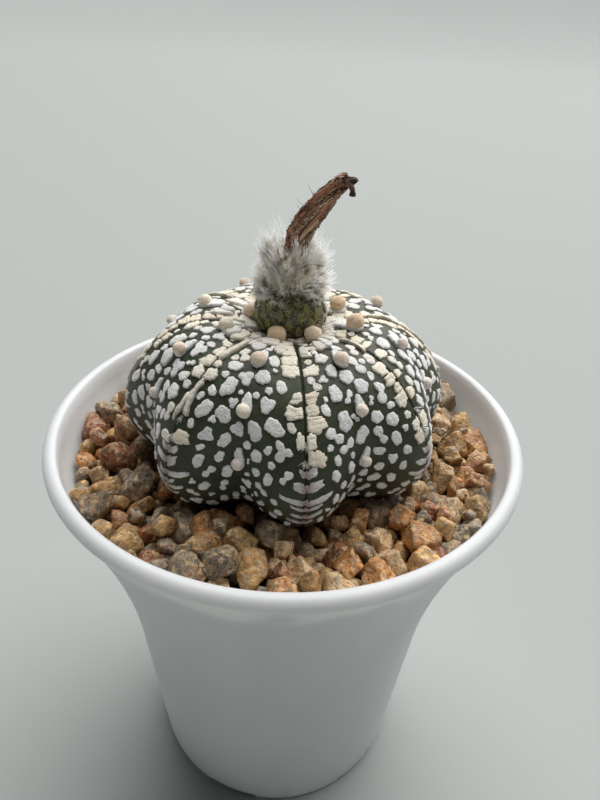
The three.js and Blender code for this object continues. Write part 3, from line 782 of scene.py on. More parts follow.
places = []
for row, phase in enumerate(AREOLE_PHASE):
    azimuth = FIRST_LOBE + (row - 0.5) * 360 / LOBE_COUNT
    line, walked = walk_down(azimuth)
    targets = np.arange(AREOLE_START + phase * AREOLE_SPACING, walked[-1], AREOLE_SPACING)
    for along in np.interp(targets, walked, WALK):
        if skin_point(along, azimuth)[2] > AREOLE_LOWEST or along < OUTER_SLOPE:
            places.append((along, azimuth))
areole_along, areole_azimuth = np.array(places).T
areole_points = skin_point(areole_along, areole_azimuth)
areole_radius = np.hypot(areole_points[:, 0], areole_points[:, 1])
crown_share = ramp(areole_radius, *CROWN_RADII) * (areole_points[:, 2] > CROWN_FOOT)
print("areoles:", len(places))

# %% Tails
TAIL_SIZE = 0.82
TAIL_GROWTH = 0.2  # what it gains on the way to the crown
TAIL_LEAN = 0.45  # radians to either side
TAIL_RISE = 0.6


def turned(blobs, angles):
    """Blob centres turned in their own plane, by an angle for each group."""
    spin = np.stack([np.cos(angles), -np.sin(angles), np.sin(angles), np.cos(angles)], axis=-1)
    blobs = np.broadcast_to(blobs, (len(angles), *blobs.shape[-2:]))
    return np.einsum("nij,nkj->nki", spin.reshape(-1, 2, 2), blobs)


draw = np.random.default_rng(31)
count = len(places)
size = TAIL_SIZE + TAIL_GROWTH * crown_share + draw.uniform(-0.06, 0.06, count)
lean = draw.uniform(-TAIL_LEAN, TAIL_LEAN, count)
slope = np.linalg.norm(skin_slopes(areole_along, areole_azimuth)[0], axis=-1)
tail_along = areole_along - TAIL_SHIFT * size / slope
tail_blobs = turned(AREOLE_BLOBS, lean) * size[:, None, None]
tail_radii = AREOLE_BLOB_RADII * size[:, None]
tail_outlines = melted_outlines(tail_blobs, tail_radii, draw)
tails = dome_points(on_skin, tail_along, areole_azimuth, tail_outlines, TAIL_RISE * size, 32)
tail_tints = FELT_WHITE * draw.uniform(0.92, 1.02, (count, 1))
add_piece("areole_tails", tails, dome_faces(count), felt, "cactus_felt", tint=dome_tints(tail_tints))

# %% Balls
BALL_RINGS = 12
BALL_COLUMNS = 18
BALL_RADIUS = 1.3
BALL_SIZE = 0.74  # share of that radius low on the skin
BALL_GROWTH = 0.4  # and what it gains on the way to the crown
BALL_FLATTER = 0.88  # height of a ball against its width
BALL_LUMPS = {"length": 0.9, "share": 0.09}
PALE_BALLS = 0.12  # share of the balls that are young and still cream


def ball_template():
    """Unit points of a ball, with its two poles last."""
    tilt = np.pi * (np.arange(BALL_RINGS) + 0.5) / BALL_RINGS
    turn = np.linspace(0, 2 * np.pi, BALL_COLUMNS, endpoint=False)
    tilt, turn = np.meshgrid(tilt, turn, indexing="ij")
    rings = np.stack([np.sin(tilt) * np.cos(turn), np.sin(tilt) * np.sin(turn), -np.cos(tilt)], axis=-1)
    return np.concatenate([rings.reshape(-1, 3), [(0, 0, -1), (0, 0, 1)]])


def mixed(first, second, share):
    """Tints between two others."""
    return first * (1 - share) + second * share


def balls_on_skin(template, along, azimuth, radii, sink, seed):
    """Woolly balls, sunk a share of their radius into the skin."""
    down, around = (unit(step) for step in skin_slopes(along, azimuth))
    out = unit(np.cross(down, around))
    aside = np.cross(out, down)
    centre = skin_point(along, azimuth) + out * (radii * (BALL_FLATTER - sink))[:, None]
    axes = np.stack([down, aside, out * BALL_FLATTER], axis=1)
    points = centre[:, None] + np.einsum("pi,nij->npj", template, axes) * radii[:, None, None]
    lumps = 1 + BALL_LUMPS["share"] * ripples(points, BALL_LUMPS["length"], seed)
    return centre[:, None] + (points - centre[:, None]) * lumps[..., None]


template = ball_template()
ball_radii = BALL_RADIUS * (BALL_SIZE + BALL_GROWTH * crown_share) * draw.uniform(0.9, 1.1, count)
sink = 0.3 - 0.2 * crown_share
balls = balls_on_skin(template, areole_along, areole_azimuth, ball_radii, sink, 33)
brown = (0.45 + 0.55 * crown_share) * draw.uniform(0.75, 1, count)
young = draw.uniform(0, 1, count) < PALE_BALLS
brown = np.where(young, 0.35 * brown, brown)[:, None]
ball_tints = mixed(np.where(young[:, None], FELT_CREAM, FELT_WHITE), FELT_TAN, brown)
tints = np.repeat(ball_tints, len(template), axis=0)
blocks = [repeated(block, len(template), count) for block in tipped_tube(BALL_RINGS, BALL_COLUMNS)]
add_piece("areole_balls", balls, blocks, smooth_felt, "cactus_felt", tint=tints)

# %% [markdown]
# ## Tiles and cords along the seams
#
# Along each seam the felt is thicker and cream. It has torn into squarish tiles as the lobe swelled, with
# straight edges along the bare seam. Here and there it has rolled up into a cord that lies on the seam
# like a piece of string. A walk down each side lays tiles, cords and bare stretches one after another.
# Near the crown they touch, and lower down more and more of the seam is bare.

# %% Walk down both sides of each seam
TILE_START = 1.6
TILE_LENGTH = (1.3, 2.8)
TILE_WIDTH = (1.2, 3.0)
TILE_RISE = (0.26, 0.5)
TILE_CRACK = (-0.2, 0.35)
TILE_FROM_SEAM = 0.1
TILE_LOWEST = 99.4
BARE_SHARE = (0.15, 0.6)  # from the crown to the foot
BARE_LENGTH = (0.8, 3.2)
CORD_SHARE = 0.14
CORD_LENGTH = (3.5, 8.0)
CORD_WIDTH = (0.7, 1.05)
CORD_BAND = (5, 24)  # distances from the crown between which cords start
SEAM_CLEARANCE = 0.12

draw = np.random.default_rng(41)
tiles, cords = [], []
for crest in crests:
    line, walked = walk_down(crest)
    foot = np.interp(along_at(crest, TILE_LOWEST), WALK, walked)
    for side in (-1, 1):
        distance = TILE_START + draw.uniform(0, 1.2)
        while distance < foot:
            is_cord = draw.uniform() < CORD_SHARE and CORD_BAND[0] < distance < CORD_BAND[1]
            length = draw.uniform(*(CORD_LENGTH if is_cord else TILE_LENGTH))
            width = draw.uniform(*(CORD_WIDTH if is_cord else TILE_WIDTH))
            along = np.interp(distance + length / 2, walked, WALK)
            x, y, _ = skin_point(along, crest)
            from_seam = TILE_FROM_SEAM + width / 2 + draw.uniform(0, SEAM_CLEARANCE)
            azimuth = crest + side * np.degrees(from_seam / np.hypot(x, y))
            (cords if is_cord else tiles).append((along, azimuth, length, width, side))
            distance += length + draw.uniform(*TILE_CRACK)
            if draw.uniform() < np.interp(distance, (0, foot), BARE_SHARE):
                distance += draw.uniform(*BARE_LENGTH)
print(len(tiles), "tiles and", len(cords), "cords")

# %% Lay the tiles
TILE_CUT = 0.45  # how far a tile reaches from its middle towards the seam, as a share of its width
TILE_TAN = 0.3  # the most tan that a tile has

tile_along, tile_azimuth, tile_length, tile_width, tile_side = np.array(tiles).T
tile_outlines = squared_outlines(tile_length, tile_width, draw, roundness=2.7, skew=0.32, ragged=1.7)
inward = np.minimum(-tile_side[:, None] * tile_outlines[..., 1], TILE_CUT * tile_width[:, None])
tile_outlines[..., 1] = -tile_side[:, None] * inward
tile_rises = draw.uniform(*TILE_RISE, len(tiles))
tile_points = dome_points(on_skin, tile_along, tile_azimuth, tile_outlines, tile_rises, 42)
tan_share = TILE_TAN * draw.uniform(0, 1, (len(tiles), 1)) ** 2
tile_tints = mixed(FELT_CREAM, FELT_TAN, tan_share) * draw.uniform(0.92, 1.04, (len(tiles), 1))
add_piece(
    "seam_tiles", tile_points, dome_faces(len(tiles)), split_felt, "cactus_felt",
    tint=dome_tints(tile_tints), down=flat_points(tile_outlines)[..., 0].ravel(),
)

# %% [markdown]
# A cord is a long, narrow dome. It swells and thins along its length and wanders a little.

# %% Lay the cords
CORD_RISE = 0.65
CORD_SWELL = {"length": 2.6, "share": 0.28}
CORD_WANDER = 0.3

cord_along, cord_azimuth, cord_length, cord_width, _ = np.array(cords).T
cord_outlines = squared_outlines(cord_length, cord_width, draw, roundness=2.6)
down = cord_outlines[..., 0]
phase = draw.uniform(0, 2 * np.pi, (2, len(cords), 1))
swell = 1 + CORD_SWELL["share"] * np.sin(2 * np.pi * down / CORD_SWELL["length"] + phase[0])
wander = CORD_WANDER * np.sin(4 * down / cord_length[:, None] + phase[1])
cord_outlines[..., 1] = cord_outlines[..., 1] * swell + wander
cord_rises = np.full(len(cords), CORD_RISE)
cord_points = dome_points(on_skin, cord_along, cord_azimuth, cord_outlines, cord_rises, 43)
cord_tints = FELT_CREAM * draw.uniform(0.82, 0.98, (len(cords), 1))
add_piece(
    "seam_cords", cord_points, dome_faces(len(cords)), split_felt, "cactus_felt",
    tint=dome_tints(cord_tints), down=flat_points(cord_outlines)[..., 0].ravel(),
)

# %% [markdown]
# ## Bars at the foot of the seams
#
# Close to the gravel the newest growth is long past. The felt has been stretched sideways into thin bars
# that leave the seam on both sides like rungs, greyer than the rest, with their outer ends curved up.
# They meet in a small knot that is stained brown. A bar is a worn tile, long across the slope and short
# down it, and the stain fades with the distance from the seam.

# %% Seam bars
BAR_HEIGHTS = [98.0, 96.1, 93.9, 92.4, 90.9, 89.4]
BAR_HALF_LENGTHS = [1.7, 2.7, 3.6, 3.9, 3.3, 2.6]
BAR_WIDTHS = [1.3, 1.4, 0.95, 0.85, 0.75, 0.65]
BAR_RISE = 0.25
BAR_SMILE = 0.7  # how far the outer ends curve up
SMILE_MIDDLE = 0.3  # taken off the curve, so that a bar stays at its own height on the whole
KNOT_SIZE = (0.9, 0.7)  # length down the seam and width of the knot of felt where two bars meet
STAIN_REACH = 1.0
STAIN_STRENGTH = 0.75


def degrees_from_crest(azimuth):
    """Degrees from the nearest crest to either side."""
    return (azimuth - FIRST_LOBE + half) % (2 * half) - half


draw = np.random.default_rng(51)
bars = []
for crest in crests:
    for height, half_length, width in zip(BAR_HEIGHTS, BAR_HALF_LENGTHS, BAR_WIDTHS):
        along = along_at(crest, height + draw.uniform(-0.35, 0.35))
        radius = np.hypot(*skin_point(along, crest)[:2])
        bars.append((along, crest, *KNOT_SIZE, 0))
        for side in (-1, 1):
            length = half_length * draw.uniform(0.4, 1.15)
            azimuth = crest + side * np.degrees(length / 2 / radius)
            lower = along + draw.uniform(-0.002, 0.002)
            bars.append((lower, azimuth, width * draw.uniform(0.7, 1.2), length, side))
bar_along, bar_azimuth, bar_width, bar_length, bar_side = np.array(bars).T
bar_outlines = squared_outlines(bar_width, bar_length, draw, roundness=2.9, ragged=1.8)
outward = 0.5 + bar_side[:, None] * bar_outlines[..., 1] / bar_length[:, None]
is_bar = np.abs(bar_side)[:, None]  # a knot has no side, and stays straight
bar_outlines[..., 0] -= BAR_SMILE * (outward**2 - SMILE_MIDDLE) * is_bar
bar_points = dome_points(on_skin, bar_along, bar_azimuth, bar_outlines, np.full(len(bars), BAR_RISE), 52)
point_azimuth = np.degrees(np.arctan2(bar_points[..., 0], -bar_points[..., 1]))
from_crest = np.radians(degrees_from_crest(point_azimuth))
from_seam = from_crest * np.hypot(bar_points[..., 0], bar_points[..., 1])
stain = STAIN_STRENGTH * np.exp(-((from_seam / STAIN_REACH) ** 2)).reshape(-1, 1)
bar_tints = dome_tints(FELT_WHITE * draw.uniform(0.75, 0.9, (len(bars), 1)))
bar_tints = mixed(bar_tints, FELT_STAIN, stain)
add_piece("seam_bars", bar_points, dome_faces(len(bars)), felt, "cactus_felt", tint=bar_tints)

# %% [markdown]
# ## Flecks over the lobes
#
# The rest of the skin is covered by a few hundred flecks, no two alike, close together but seldom
# touching. Throwing darts gives that: a fleck is drawn at a random place and kept if none of its blobs
# comes too near a blob that is already there. Large ones are thrown first, and small ones then fill in.
# Below the shoulder the flecks grow smaller and stand further apart, and near the crown they crowd.

# %% Throw the flecks
FLECK_BAND = (0.03, 0.62)  # shares of the way down
FLECK_LOWEST = 86.8
FLECK_INNERMOST = 6.5
THROWS = [  # how many, of what radius, and how far apart at least
    (5000, (1.1, 1.36), 0.38),
    (9000, (0.9, 1.1), 0.36),
    (14000, (0.72, 0.9), 0.36),
    (12000, (0.58, 0.72), 0.38),
    (900, (0.4, 0.5), 0.7),
]
GAP_SPREAD = (0.15, 1.3)
CROWN_GAP = 0.08
CROWN_CROWD = (27, 17)  # distances from the axis between which the gaps close to that
SHOULDER = (105, 96)  # heights between which the flecks change from large and close to small and sparse
LOW_GAP = 0.5  # what the gaps gain on the way down
LOW_SHRINK = 0.28  # what the flecks lose in size on the way down
FLECK_TURN = 0.6  # radians
FLANK = 11.0  # degrees from a crest, on the flank of a lobe
KINDS = [0.15, 0.42, 0.17, 0.1, 0.06, 0.1]  # shares of dots, ovals, beans, hearts, clovers and eights
KIND_BLOBS = np.array([
    [(0, 0), (0, 0), (0, 0)],
    [(-0.45, 0), (0.45, 0), (0, 0)],
    [(-0.78, 0.1), (0.78, -0.1), (0, 0)],
    [(-0.42, -0.45), (-0.36, 0.5), (0.5, 0)],
    [(-0.8, -0.4), (0.7, -0.5), (0.1, 0.75)],
    [(-0.85, 0), (0.8, 0.1), (0, 0)],
])
KIND_RADII = np.array([
    (1, 0, 0), (0.85, 0.85, 0), (0.74, 0.7, 0), (0.6, 0.62, 0.66), (0.66, 0.7, 0.62), (0.8, 0.68, 0),
])


def band_shares(count, draw):
    """Shares of the way down, drawn so that every patch of skin is hit as often as any other."""
    grid = np.linspace(*FLECK_BAND, 300)
    down, around = skin_slopes(grid, FIRST_LOBE + FLANK)
    area = np.cumsum(np.linalg.norm(down, axis=-1) * np.linalg.norm(around, axis=-1))
    return np.interp(draw.uniform(area[0], area[-1], count), area, grid)


def throw(count, size_range, draw):
    """Candidates for flecks: places, blob centres in the skin's plane, and blob radii."""
    along = band_shares(count, draw)
    azimuth = draw.uniform(0, 360, count)
    kind = draw.choice(len(KINDS), count, p=KINDS)
    size = draw.uniform(*size_range, count)
    size = size * (1 - LOW_SHRINK * ramp(skin_point(along, azimuth)[:, 2], *SHOULDER))
    blobs = turned(KIND_BLOBS[kind], draw.normal(0, FLECK_TURN, count)) * size[:, None, None]
    return along, azimuth, blobs, KIND_RADII[kind] * size[:, None]


# %% [markdown]
# The edges that a fleck must stay clear of never change, so they go into a search tree, which finds the
# nearest one at once. The flecks already kept are few enough to measure one by one.

# %% Edges to stay clear of
SEAM_POINTS = slice(15, None, 6)  # of the points of a walk

seam_lines = np.concatenate([walk_down(crest)[0][SEAM_POINTS] for crest in crests])
edge_sets = [tails[:, ::3], tile_points[:, ::4], cord_points[:, ::3], bar_points[:, ::4], seam_lines]
edge_points = np.concatenate([points.reshape(-1, 3) for points in edge_sets])
edges = KDTree(len(edge_points))
for number, point in enumerate(edge_points):
    edges.insert(point, number)
edges.balance()
print("points to stay clear of:", len(edge_points))

# %% Keep the flecks that are clear of each other
draw = np.random.default_rng(61)
kept = []
kept_points = np.empty((0, 3))
kept_radii = np.empty(0)
for how_many, size_range, least_gap in THROWS:
    along, azimuth, blobs, radii = throw(how_many, size_range, draw)
    lie = on_skin(along[:, None], azimuth[:, None], blobs[..., 0], blobs[..., 1], 0.0)
    from_axis = np.hypot(lie[:, 0, 0], lie[:, 0, 1])
    gap = least_gap * draw.uniform(*GAP_SPREAD, how_many)
    gap = gap + LOW_GAP * ramp(lie[:, 0, 2], *SHOULDER)
    gap = gap + (CROWN_GAP - gap) * ramp(from_axis, *CROWN_CROWD)
    fits = (lie[:, 0, 2] > FLECK_LOWEST) & (from_axis > FLECK_INNERMOST)
    for i in np.flatnonzero(fits):
        used = radii[i] > 0
        blob_points = lie[i, used]
        reach = radii[i, used] + gap[i]
        if any(edges.find(point)[2] < least for point, least in zip(blob_points, reach)):
            continue
        apart = np.sqrt(((kept_points - blob_points[:, None]) ** 2).sum(axis=-1))
        if np.all(apart > kept_radii + reach[:, None]):
            kept.append((along[i], azimuth[i], blobs[i], radii[i]))
            kept_points = np.concatenate([kept_points, blob_points])
            kept_radii = np.append(kept_radii, radii[i, used])
fleck_along, fleck_azimuth, fleck_blobs, fleck_radii = (np.array(column) for column in zip(*kept))
print("flecks:", len(kept))

# %% [markdown]
# Flecks in the open fields are pure white. Near a seam and round the crown they turn cream, like the
# tiles there. Each also has its own slight shade.

# %% Lay the flecks
FLECK_RISE = (0.24, 0.38)
SEAM_CREAM = (5.4, 0.9)  # distances from a seam between which the flecks turn cream
CROWN_CREAM = (15, 7)  # and distances from the axis

fleck_outlines = melted_outlines(fleck_blobs, fleck_radii, draw)
rises = draw.uniform(*FLECK_RISE, len(kept)) * np.clip(fleck_radii.max(axis=1), 0.7, 1.2)
flecks = dome_points(on_skin, fleck_along, fleck_azimuth, fleck_outlines, rises, 62)
lie = skin_point(fleck_along, fleck_azimuth)
radius = np.hypot(lie[:, 0], lie[:, 1])
seam_distance = np.radians(np.abs(degrees_from_crest(fleck_azimuth))) * radius
cream = ramp(seam_distance, *SEAM_CREAM) * draw.uniform(0.4, 1, len(kept))
cream = np.maximum(cream, ramp(radius, *CROWN_CREAM) * draw.uniform(0.6, 1, len(kept)))[:, None]
fleck_tints = mixed(FELT_WHITE, FELT_CREAM, cream) * draw.uniform(0.9, 1.03, (len(kept), 1))
add_piece("felt_flecks", flecks, dome_faces(len(kept)), felt, "cactus_felt", tint=dome_tints(fleck_tints))

# %% [markdown]
# Round the fruit is the youngest growth. The felt there has had no room to part, so it lies in flaps that
# overlap like the petals of a daisy. They are long domes thrown close to each other, some thicker than
# others, which lets the thick ones cover the thin.

# %% Flaps round the fruit
FLAP_COUNT = 74
FLAP_BAND = (0.012, 0.11)  # shares of the way down
FLAP_LENGTH = (2.2, 4.0)
FLAP_WIDTH = (1.3, 2.3)
FLAP_RISE = (0.3, 1.0)
GOLDEN_ANGLE = 137.5  # degrees from one leaf, scale or hair of a plant to the next

draw = np.random.default_rng(65)
flap_along = draw.uniform(*FLAP_BAND, FLAP_COUNT)
flap_azimuth = np.arange(FLAP_COUNT) * GOLDEN_ANGLE + draw.uniform(-8, 8, FLAP_COUNT)
flap_length = draw.uniform(*FLAP_LENGTH, FLAP_COUNT)
flap_width = draw.uniform(*FLAP_WIDTH, FLAP_COUNT)
flap_outlines = squared_outlines(flap_length, flap_width, draw, roundness=2.5)
flap_rises = draw.uniform(*FLAP_RISE, FLAP_COUNT)
flaps = dome_points(on_skin, flap_along, flap_azimuth, flap_outlines, flap_rises, 66)
pale = draw.uniform(0, 1, (FLAP_COUNT, 1))
flap_tints = mixed(FELT_CREAM, FELT_WHITE, pale) * draw.uniform(0.82, 1, (FLAP_COUNT, 1))
add_piece(
    "crown_flaps", flaps, dome_faces(FLAP_COUNT), split_felt, "cactus_felt",
    tint=dome_tints(flap_tints), down=flat_points(flap_outlines)[..., 0].ravel(),
)

# %% [markdown]
# ## Gravel
#
# The gravel is crushed granite, 3 to 8 mm across. A scatter of copies on a flat disc would look laid by
# hand. Real stones have sunk until each rests on others, so the stones are first treated as plain balls
# that fall, push each other apart, and stop at the pot and at the cactus. The highest are patted down, as
# a grower does by hand. A rigid body simulation would do the same in more time. Each ball then becomes
# a broken stone of its size.

# %% Balls over the pot
STONE_RADII = [(54, 2.5, 3.2), (170, 1.8, 2.45), (210, 1.2, 1.75)]  # how many, from and to
STONE_RING = (21, 39)  # distances from the axis between which they fall
STONE_DROP = (82, 98)  # heights that they fall from
LAST_TO_FALL = {"below": 1.8, "later": 8}  # stones under this radius start this much higher

draw = np.random.default_rng(71)
radii = np.concatenate([draw.uniform(low, high, many) for many, low, high in STONE_RADII])
stone_count = len(radii)
spread = np.sqrt(draw.uniform(STONE_RING[0] ** 2, STONE_RING[1] ** 2, stone_count))
start = draw.uniform(*STONE_DROP, stone_count)
start = start + np.where(radii < LAST_TO_FALL["below"], LAST_TO_FALL["later"], 0)
centres = polar(spread, draw.uniform(0, 360, stone_count), start)
print(stone_count, "stones to settle")

# %% Let them settle
STONE_FLOOR = 79.6
STONE_LEVEL = 87.2  # the height to which the gravel is patted down
STONE_SLOPE = 0.03  # the gravel lies a little higher to the left
STONE_HIGHEST = 88.4  # stones that found no room below this are taken off
PAT = 0.25
SETTLE_STEPS = 420
FALL = 0.14
TOUCH = 0.92  # balls may overlap this much, as broken stones do not fill theirs
WALL_TOUCH = 0.97
HALF_EACH = 0.5  # of a push goes to each of two balls
HASTE = 1.6  # and it is made larger, so that the heap comes to rest sooner
SKIN_CLEARANCE = 0.2
BELLY_SHARES = (0.34, 0.78)  # of the way down the skin, where stones can touch it

belly_along, belly_azimuth = np.meshgrid(np.linspace(*BELLY_SHARES, 20), np.arange(0, 360, 4.5))
belly = skin_point(belly_along, belly_azimuth).reshape(-1, 3)
belly_out = raised_skin(belly_along, belly_azimuth, np.ones(belly_along.shape)).reshape(-1, 3) - belly
rest_distance = TOUCH * (radii[:, None] + radii)
np.fill_diagonal(rest_distance, 0)
for step in range(SETTLE_STEPS):
    centres[:, 2] -= FALL * (1 - step / SETTLE_STEPS)
    apart = centres[:, None] - centres
    distance = np.linalg.norm(apart, axis=-1) + 1e-9  # a ball is no distance from itself
    overlap = np.maximum(rest_distance - distance, 0)
    push = (apart / distance[..., None] * overlap[..., None]).sum(axis=1)
    centres += HALF_EACH * push / np.maximum((overlap > 0).sum(axis=1), 1)[:, None] * HASTE
    nearest = np.linalg.norm(centres[:, None] - belly, axis=-1).argmin(axis=1)
    clear = ((centres - belly[nearest]) * belly_out[nearest]).sum(axis=1) - radii - SKIN_CLEARANCE
    centres -= np.minimum(clear, 0)[:, None] * belly_out[nearest]
    outward = np.hypot(centres[:, 0], centres[:, 1])
    most = wall_radius(centres[:, 2]) - WALL_THICKNESS - radii * WALL_TOUCH
    centres[:, :2] *= np.minimum(1, most / outward)[:, None]
    level = STONE_LEVEL - STONE_SLOPE * centres[:, 0]
    centres[:, 2] -= PAT * np.maximum(centres[:, 2] + radii - level, 0)
    centres[:, 2] = np.maximum(centres[:, 2], STONE_FLOOR + radii)
settled = centres[:, 2] + radii < STONE_HIGHEST - STONE_SLOPE * centres[:, 0]
centres, radii = centres[settled], radii[settled]
stone_count = len(radii)
tops = centres[:, 2] + radii
print(f"{stone_count} stones lie in the pot, the highest up to {tops.max():.1f} mm")

# %% [markdown]
# Rock breaks along planes, and years in a river bed or a drum rub its edges round. So a stone is a ball
# cut by nine planes, which are spread all round it and then tilted at random. The cuts are blended, which
# rounds the edges a little, and a finer roughness is added. Stones that can be seen get more faces than
# those below, and no stone reaches through the wall of the pot.

# %% Break and rub the stones
STONE_CUTS = 9
CUT_DEPTH = (0.6, 0.86)
GRAZING = 0.02  # the least slope at which a ray is taken to meet a plane
EDGE_SHARPNESS = 56
CORNER_LIMIT = 1.16  # share of the radius beyond which corners are worn off
STONE_SHAPE = (0.78, 1.16)
STONE_TILT = 0.45  # radians out of the level
CUT_SCATTER = 0.3
STONE_SWELL = 1.11  # the cuts take away more than the balls' overlap gives
STONE_BUMPS = [(1.9, 0.05), (0.8, 0.035)]  # length in mm, and height as a share of the radius
WALL_CLEARANCE = 0.1


def ball_of_triangles(detail):
    """Unit directions and triangles of an evenly divided ball."""
    ball = bmesh.new()
    bmesh.ops.create_icosphere(ball, subdivisions=detail, radius=1)
    directions = np.array([corner.co[:] for corner in ball.verts])
    faces = np.array([[corner.index for corner in face.verts] for face in ball.faces])
    ball.free()
    return directions, faces


def spread_directions(count):
    """Unit directions spread evenly over a ball, along a spiral from pole to pole."""
    level = 1 - (2 * np.arange(count) + 1) / count
    turn = np.radians(GOLDEN_ANGLE) * np.arange(count)
    flat = np.sqrt(1 - level**2)
    return np.stack([flat * np.cos(turn), flat * np.sin(turn), level], axis=-1)


def broken_stone(directions, centre, radius, draw):
    """Points of one stone round its centre."""
    planes = unit(spread_directions(STONE_CUTS) + draw.normal(0, CUT_SCATTER, (STONE_CUTS, 3)))
    planes = planes @ np.linalg.qr(draw.normal(size=(3, 3)))[0]
    depths = draw.uniform(*CUT_DEPTH, STONE_CUTS)
    reach = depths / np.maximum(directions @ planes.T, GRAZING)
    limit = CORNER_LIMIT**-EDGE_SHARPNESS
    rounded = ((reach**-EDGE_SHARPNESS).sum(axis=1) + limit) ** (-1 / EDGE_SHARPNESS)
    flat = draw.uniform(*STONE_SHAPE, 3)
    heading = Matrix.Rotation(draw.uniform(0, 2 * np.pi), 3, "Z")
    spin = np.array(heading @ Matrix.Rotation(draw.normal(0, STONE_TILT), 3, "X"))
    points = (directions * rounded[:, None] * flat) @ spin.T * radius * STONE_SWELL
    for length, height in STONE_BUMPS:
        bumps = ripples(points + centre, length, int(draw.integers(1000)))
        points = points * (1 + height * bumps)[:, None]
    points = points + centre
    outward = np.hypot(points[:, 0], points[:, 1])
    most = wall_radius(points[:, 2]) - WALL_THICKNESS - WALL_CLEARANCE
    points[:, :2] *= np.minimum(1, most / outward)[:, None]
    return points


# %% [markdown]
# Each stone has one main colour out of a handful that granite weathers to: tan, ochre, orange, red-brown
# and grey. Within a stone, crystals of a millimetre or so differ: pale feldspar, grey glassy quartz,
# rust and black mica. A cell texture gives each crystal a random colour of its own, whose three channels
# then decide three things: whether it is quartz, how pale it is, and whether it has rusted.

# %% Granite finish
STONE_TONES = ["#cba56e", "#bd9560", "#c58a54", "#a5664a", "#978c7b", "#dec299", "#7f7667", "#cf9c77"]
STONE_SHARES = [0.17, 0.14, 0.12, 0.08, 0.16, 0.13, 0.11, 0.09]
CRYSTALS_PER_MM = 1.5
CRYSTAL_BEND = 0.9  # how far the crystals' edges are bent
STONE_ROUGHNESS = 0.6
QUARTZ_ROUGHNESS = 0.22
RUST = tone("#bb723b")
FELDSPAR = tone("#edcb98")
QUARTZ = tone("#998772")
MICA = tone("#29241f")

granite, tree, shader = new_finish("granite", roughness=0.5, specular_ior_level=0.4)
tint = carried(tree, "tint", "Color")
wobble = node(tree, "TexNoise", "Color", {"Vector": place_on(tree), "Scale": 1.1 * PER_MM})
bent = node(tree, "VectorMath", "Vector", {
    0: wobble, 1: (CRYSTAL_BEND * MM,) * 3, 2: place_on(tree),
}, operation="MULTIPLY_ADD")
crystals = tree.nodes.new("ShaderNodeSeparateColor")
feed(tree, crystals.inputs["Color"], cells(tree, CRYSTALS_PER_MM, bent)["Color"])
is_quartz = between(tree, crystals.outputs["Red"], 0.7, 0.74)
paleness = between(tree, crystals.outputs["Green"], 0.45, 1.0)
is_rusty = between(tree, crystals.outputs["Blue"], 0.8, 0.88)
grime = between(tree, noise(tree, 0.8, 5), 0.36, 0.56)
body = blended(tree, grime, shaded(tree, tint, 0.5, 1.1), tint)
grit = between(tree, noise(tree, 3.5, 3), 0.35, 0.65)
body = blended(tree, grit, shaded(tree, body, 0.72), body)
body = blended(tree, times(tree, paleness, 0.6), body, FELDSPAR)
body = blended(tree, times(tree, is_rusty, 0.5), body, RUST)
body = blended(tree, times(tree, is_quartz, 0.6), body, QUARTZ)
mica = between(tree, noise(tree, 1.7, 2), 0.66, 0.72)
feed(tree, shader.inputs["Base Color"], blended(tree, mica, body, MICA))
glassy = {"Value": is_quartz, "To Min": STONE_ROUGHNESS, "To Max": QUARTZ_ROUGHNESS}
feed(tree, shader.inputs["Roughness"], node(tree, "MapRange", "Result", glassy))
relief(tree, shader, noise(tree, 2.2, 6), 0.35)

# %% Stones as pieces
STONE_BRIGHTNESS = (0.9, 1.4)
SEEN_ABOVE = 83.6  # stones whose tops reach about this height are seen
BIG_RADIUS = 2.2
SMALL_RADIUS = 1.5

draw = np.random.default_rng(72)
palette = np.array([tone(code) for code in STONE_TONES])
stone_tints = palette[draw.choice(len(palette), stone_count, p=STONE_SHARES)]
stone_tints = stone_tints * draw.uniform(*STONE_BRIGHTNESS, (stone_count, 1))
seen = centres[:, 2] + radii * 0.8 > SEEN_ABOVE
big = seen & (radii > BIG_RADIUS)
middling = seen & ~big & (radii > SMALL_RADIUS)
small = seen & (radii <= SMALL_RADIUS)
heaps = [
    ("gravel_stones", big, 4), ("gravel_middle", middling, 4), ("gravel_small", small, 3),
    ("gravel_bed", ~seen, 2),
]
for name, chosen, detail in heaps:
    directions, triangles = ball_of_triangles(detail)
    picked = np.flatnonzero(chosen)
    stones = [broken_stone(directions, centres[i], radii[i], draw) for i in picked]
    blocks = [repeated(triangles, len(directions), len(picked))]
    tints = np.repeat(stone_tints[picked], len(directions), axis=0)
    piece = add_piece(name, np.concatenate(stones), blocks, granite, "granite_gravel", tint=tints)
    print(f"  {len(picked)} stones")
    if chosen is big:
        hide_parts("gravel")

# %% [markdown]
# Under the stones lies the potting mix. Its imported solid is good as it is, and hardly seen, so it stays
# and only gets a finish: dark, damp peat with lighter crumbs of grit.

# %% Potting mix
PEAT = tone("#2c211a")
PEAT_CRUMB = tone("#54432f")

peat, tree, shader = new_finish("potting_mix", roughness=0.95)
crumbs = noise(tree, 0.8, 5)
feed(tree, shader.inputs["Base Color"], blended(tree, between(tree, crumbs, 0.5, 0.7), PEAT, PEAT_CRUMB))
relief(tree, shader, crumbs, 0.8)
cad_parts["potting_mix"].material_slots[0].material = peat

# %% [markdown]
# ## Hairs
#
# The fruit is dressed in wool. Blender's hair curves would not survive an export, so each hair is a thin
# mesh blade with three sides, which bends as it leaves its root and tapers to its tip. All hairs of a
# piece are made at once.

# %% Hair blades
HAIR_JOINTS = 5
HAIR_TAPER = 0.8  # share of its width that a hair loses on the way to its tip


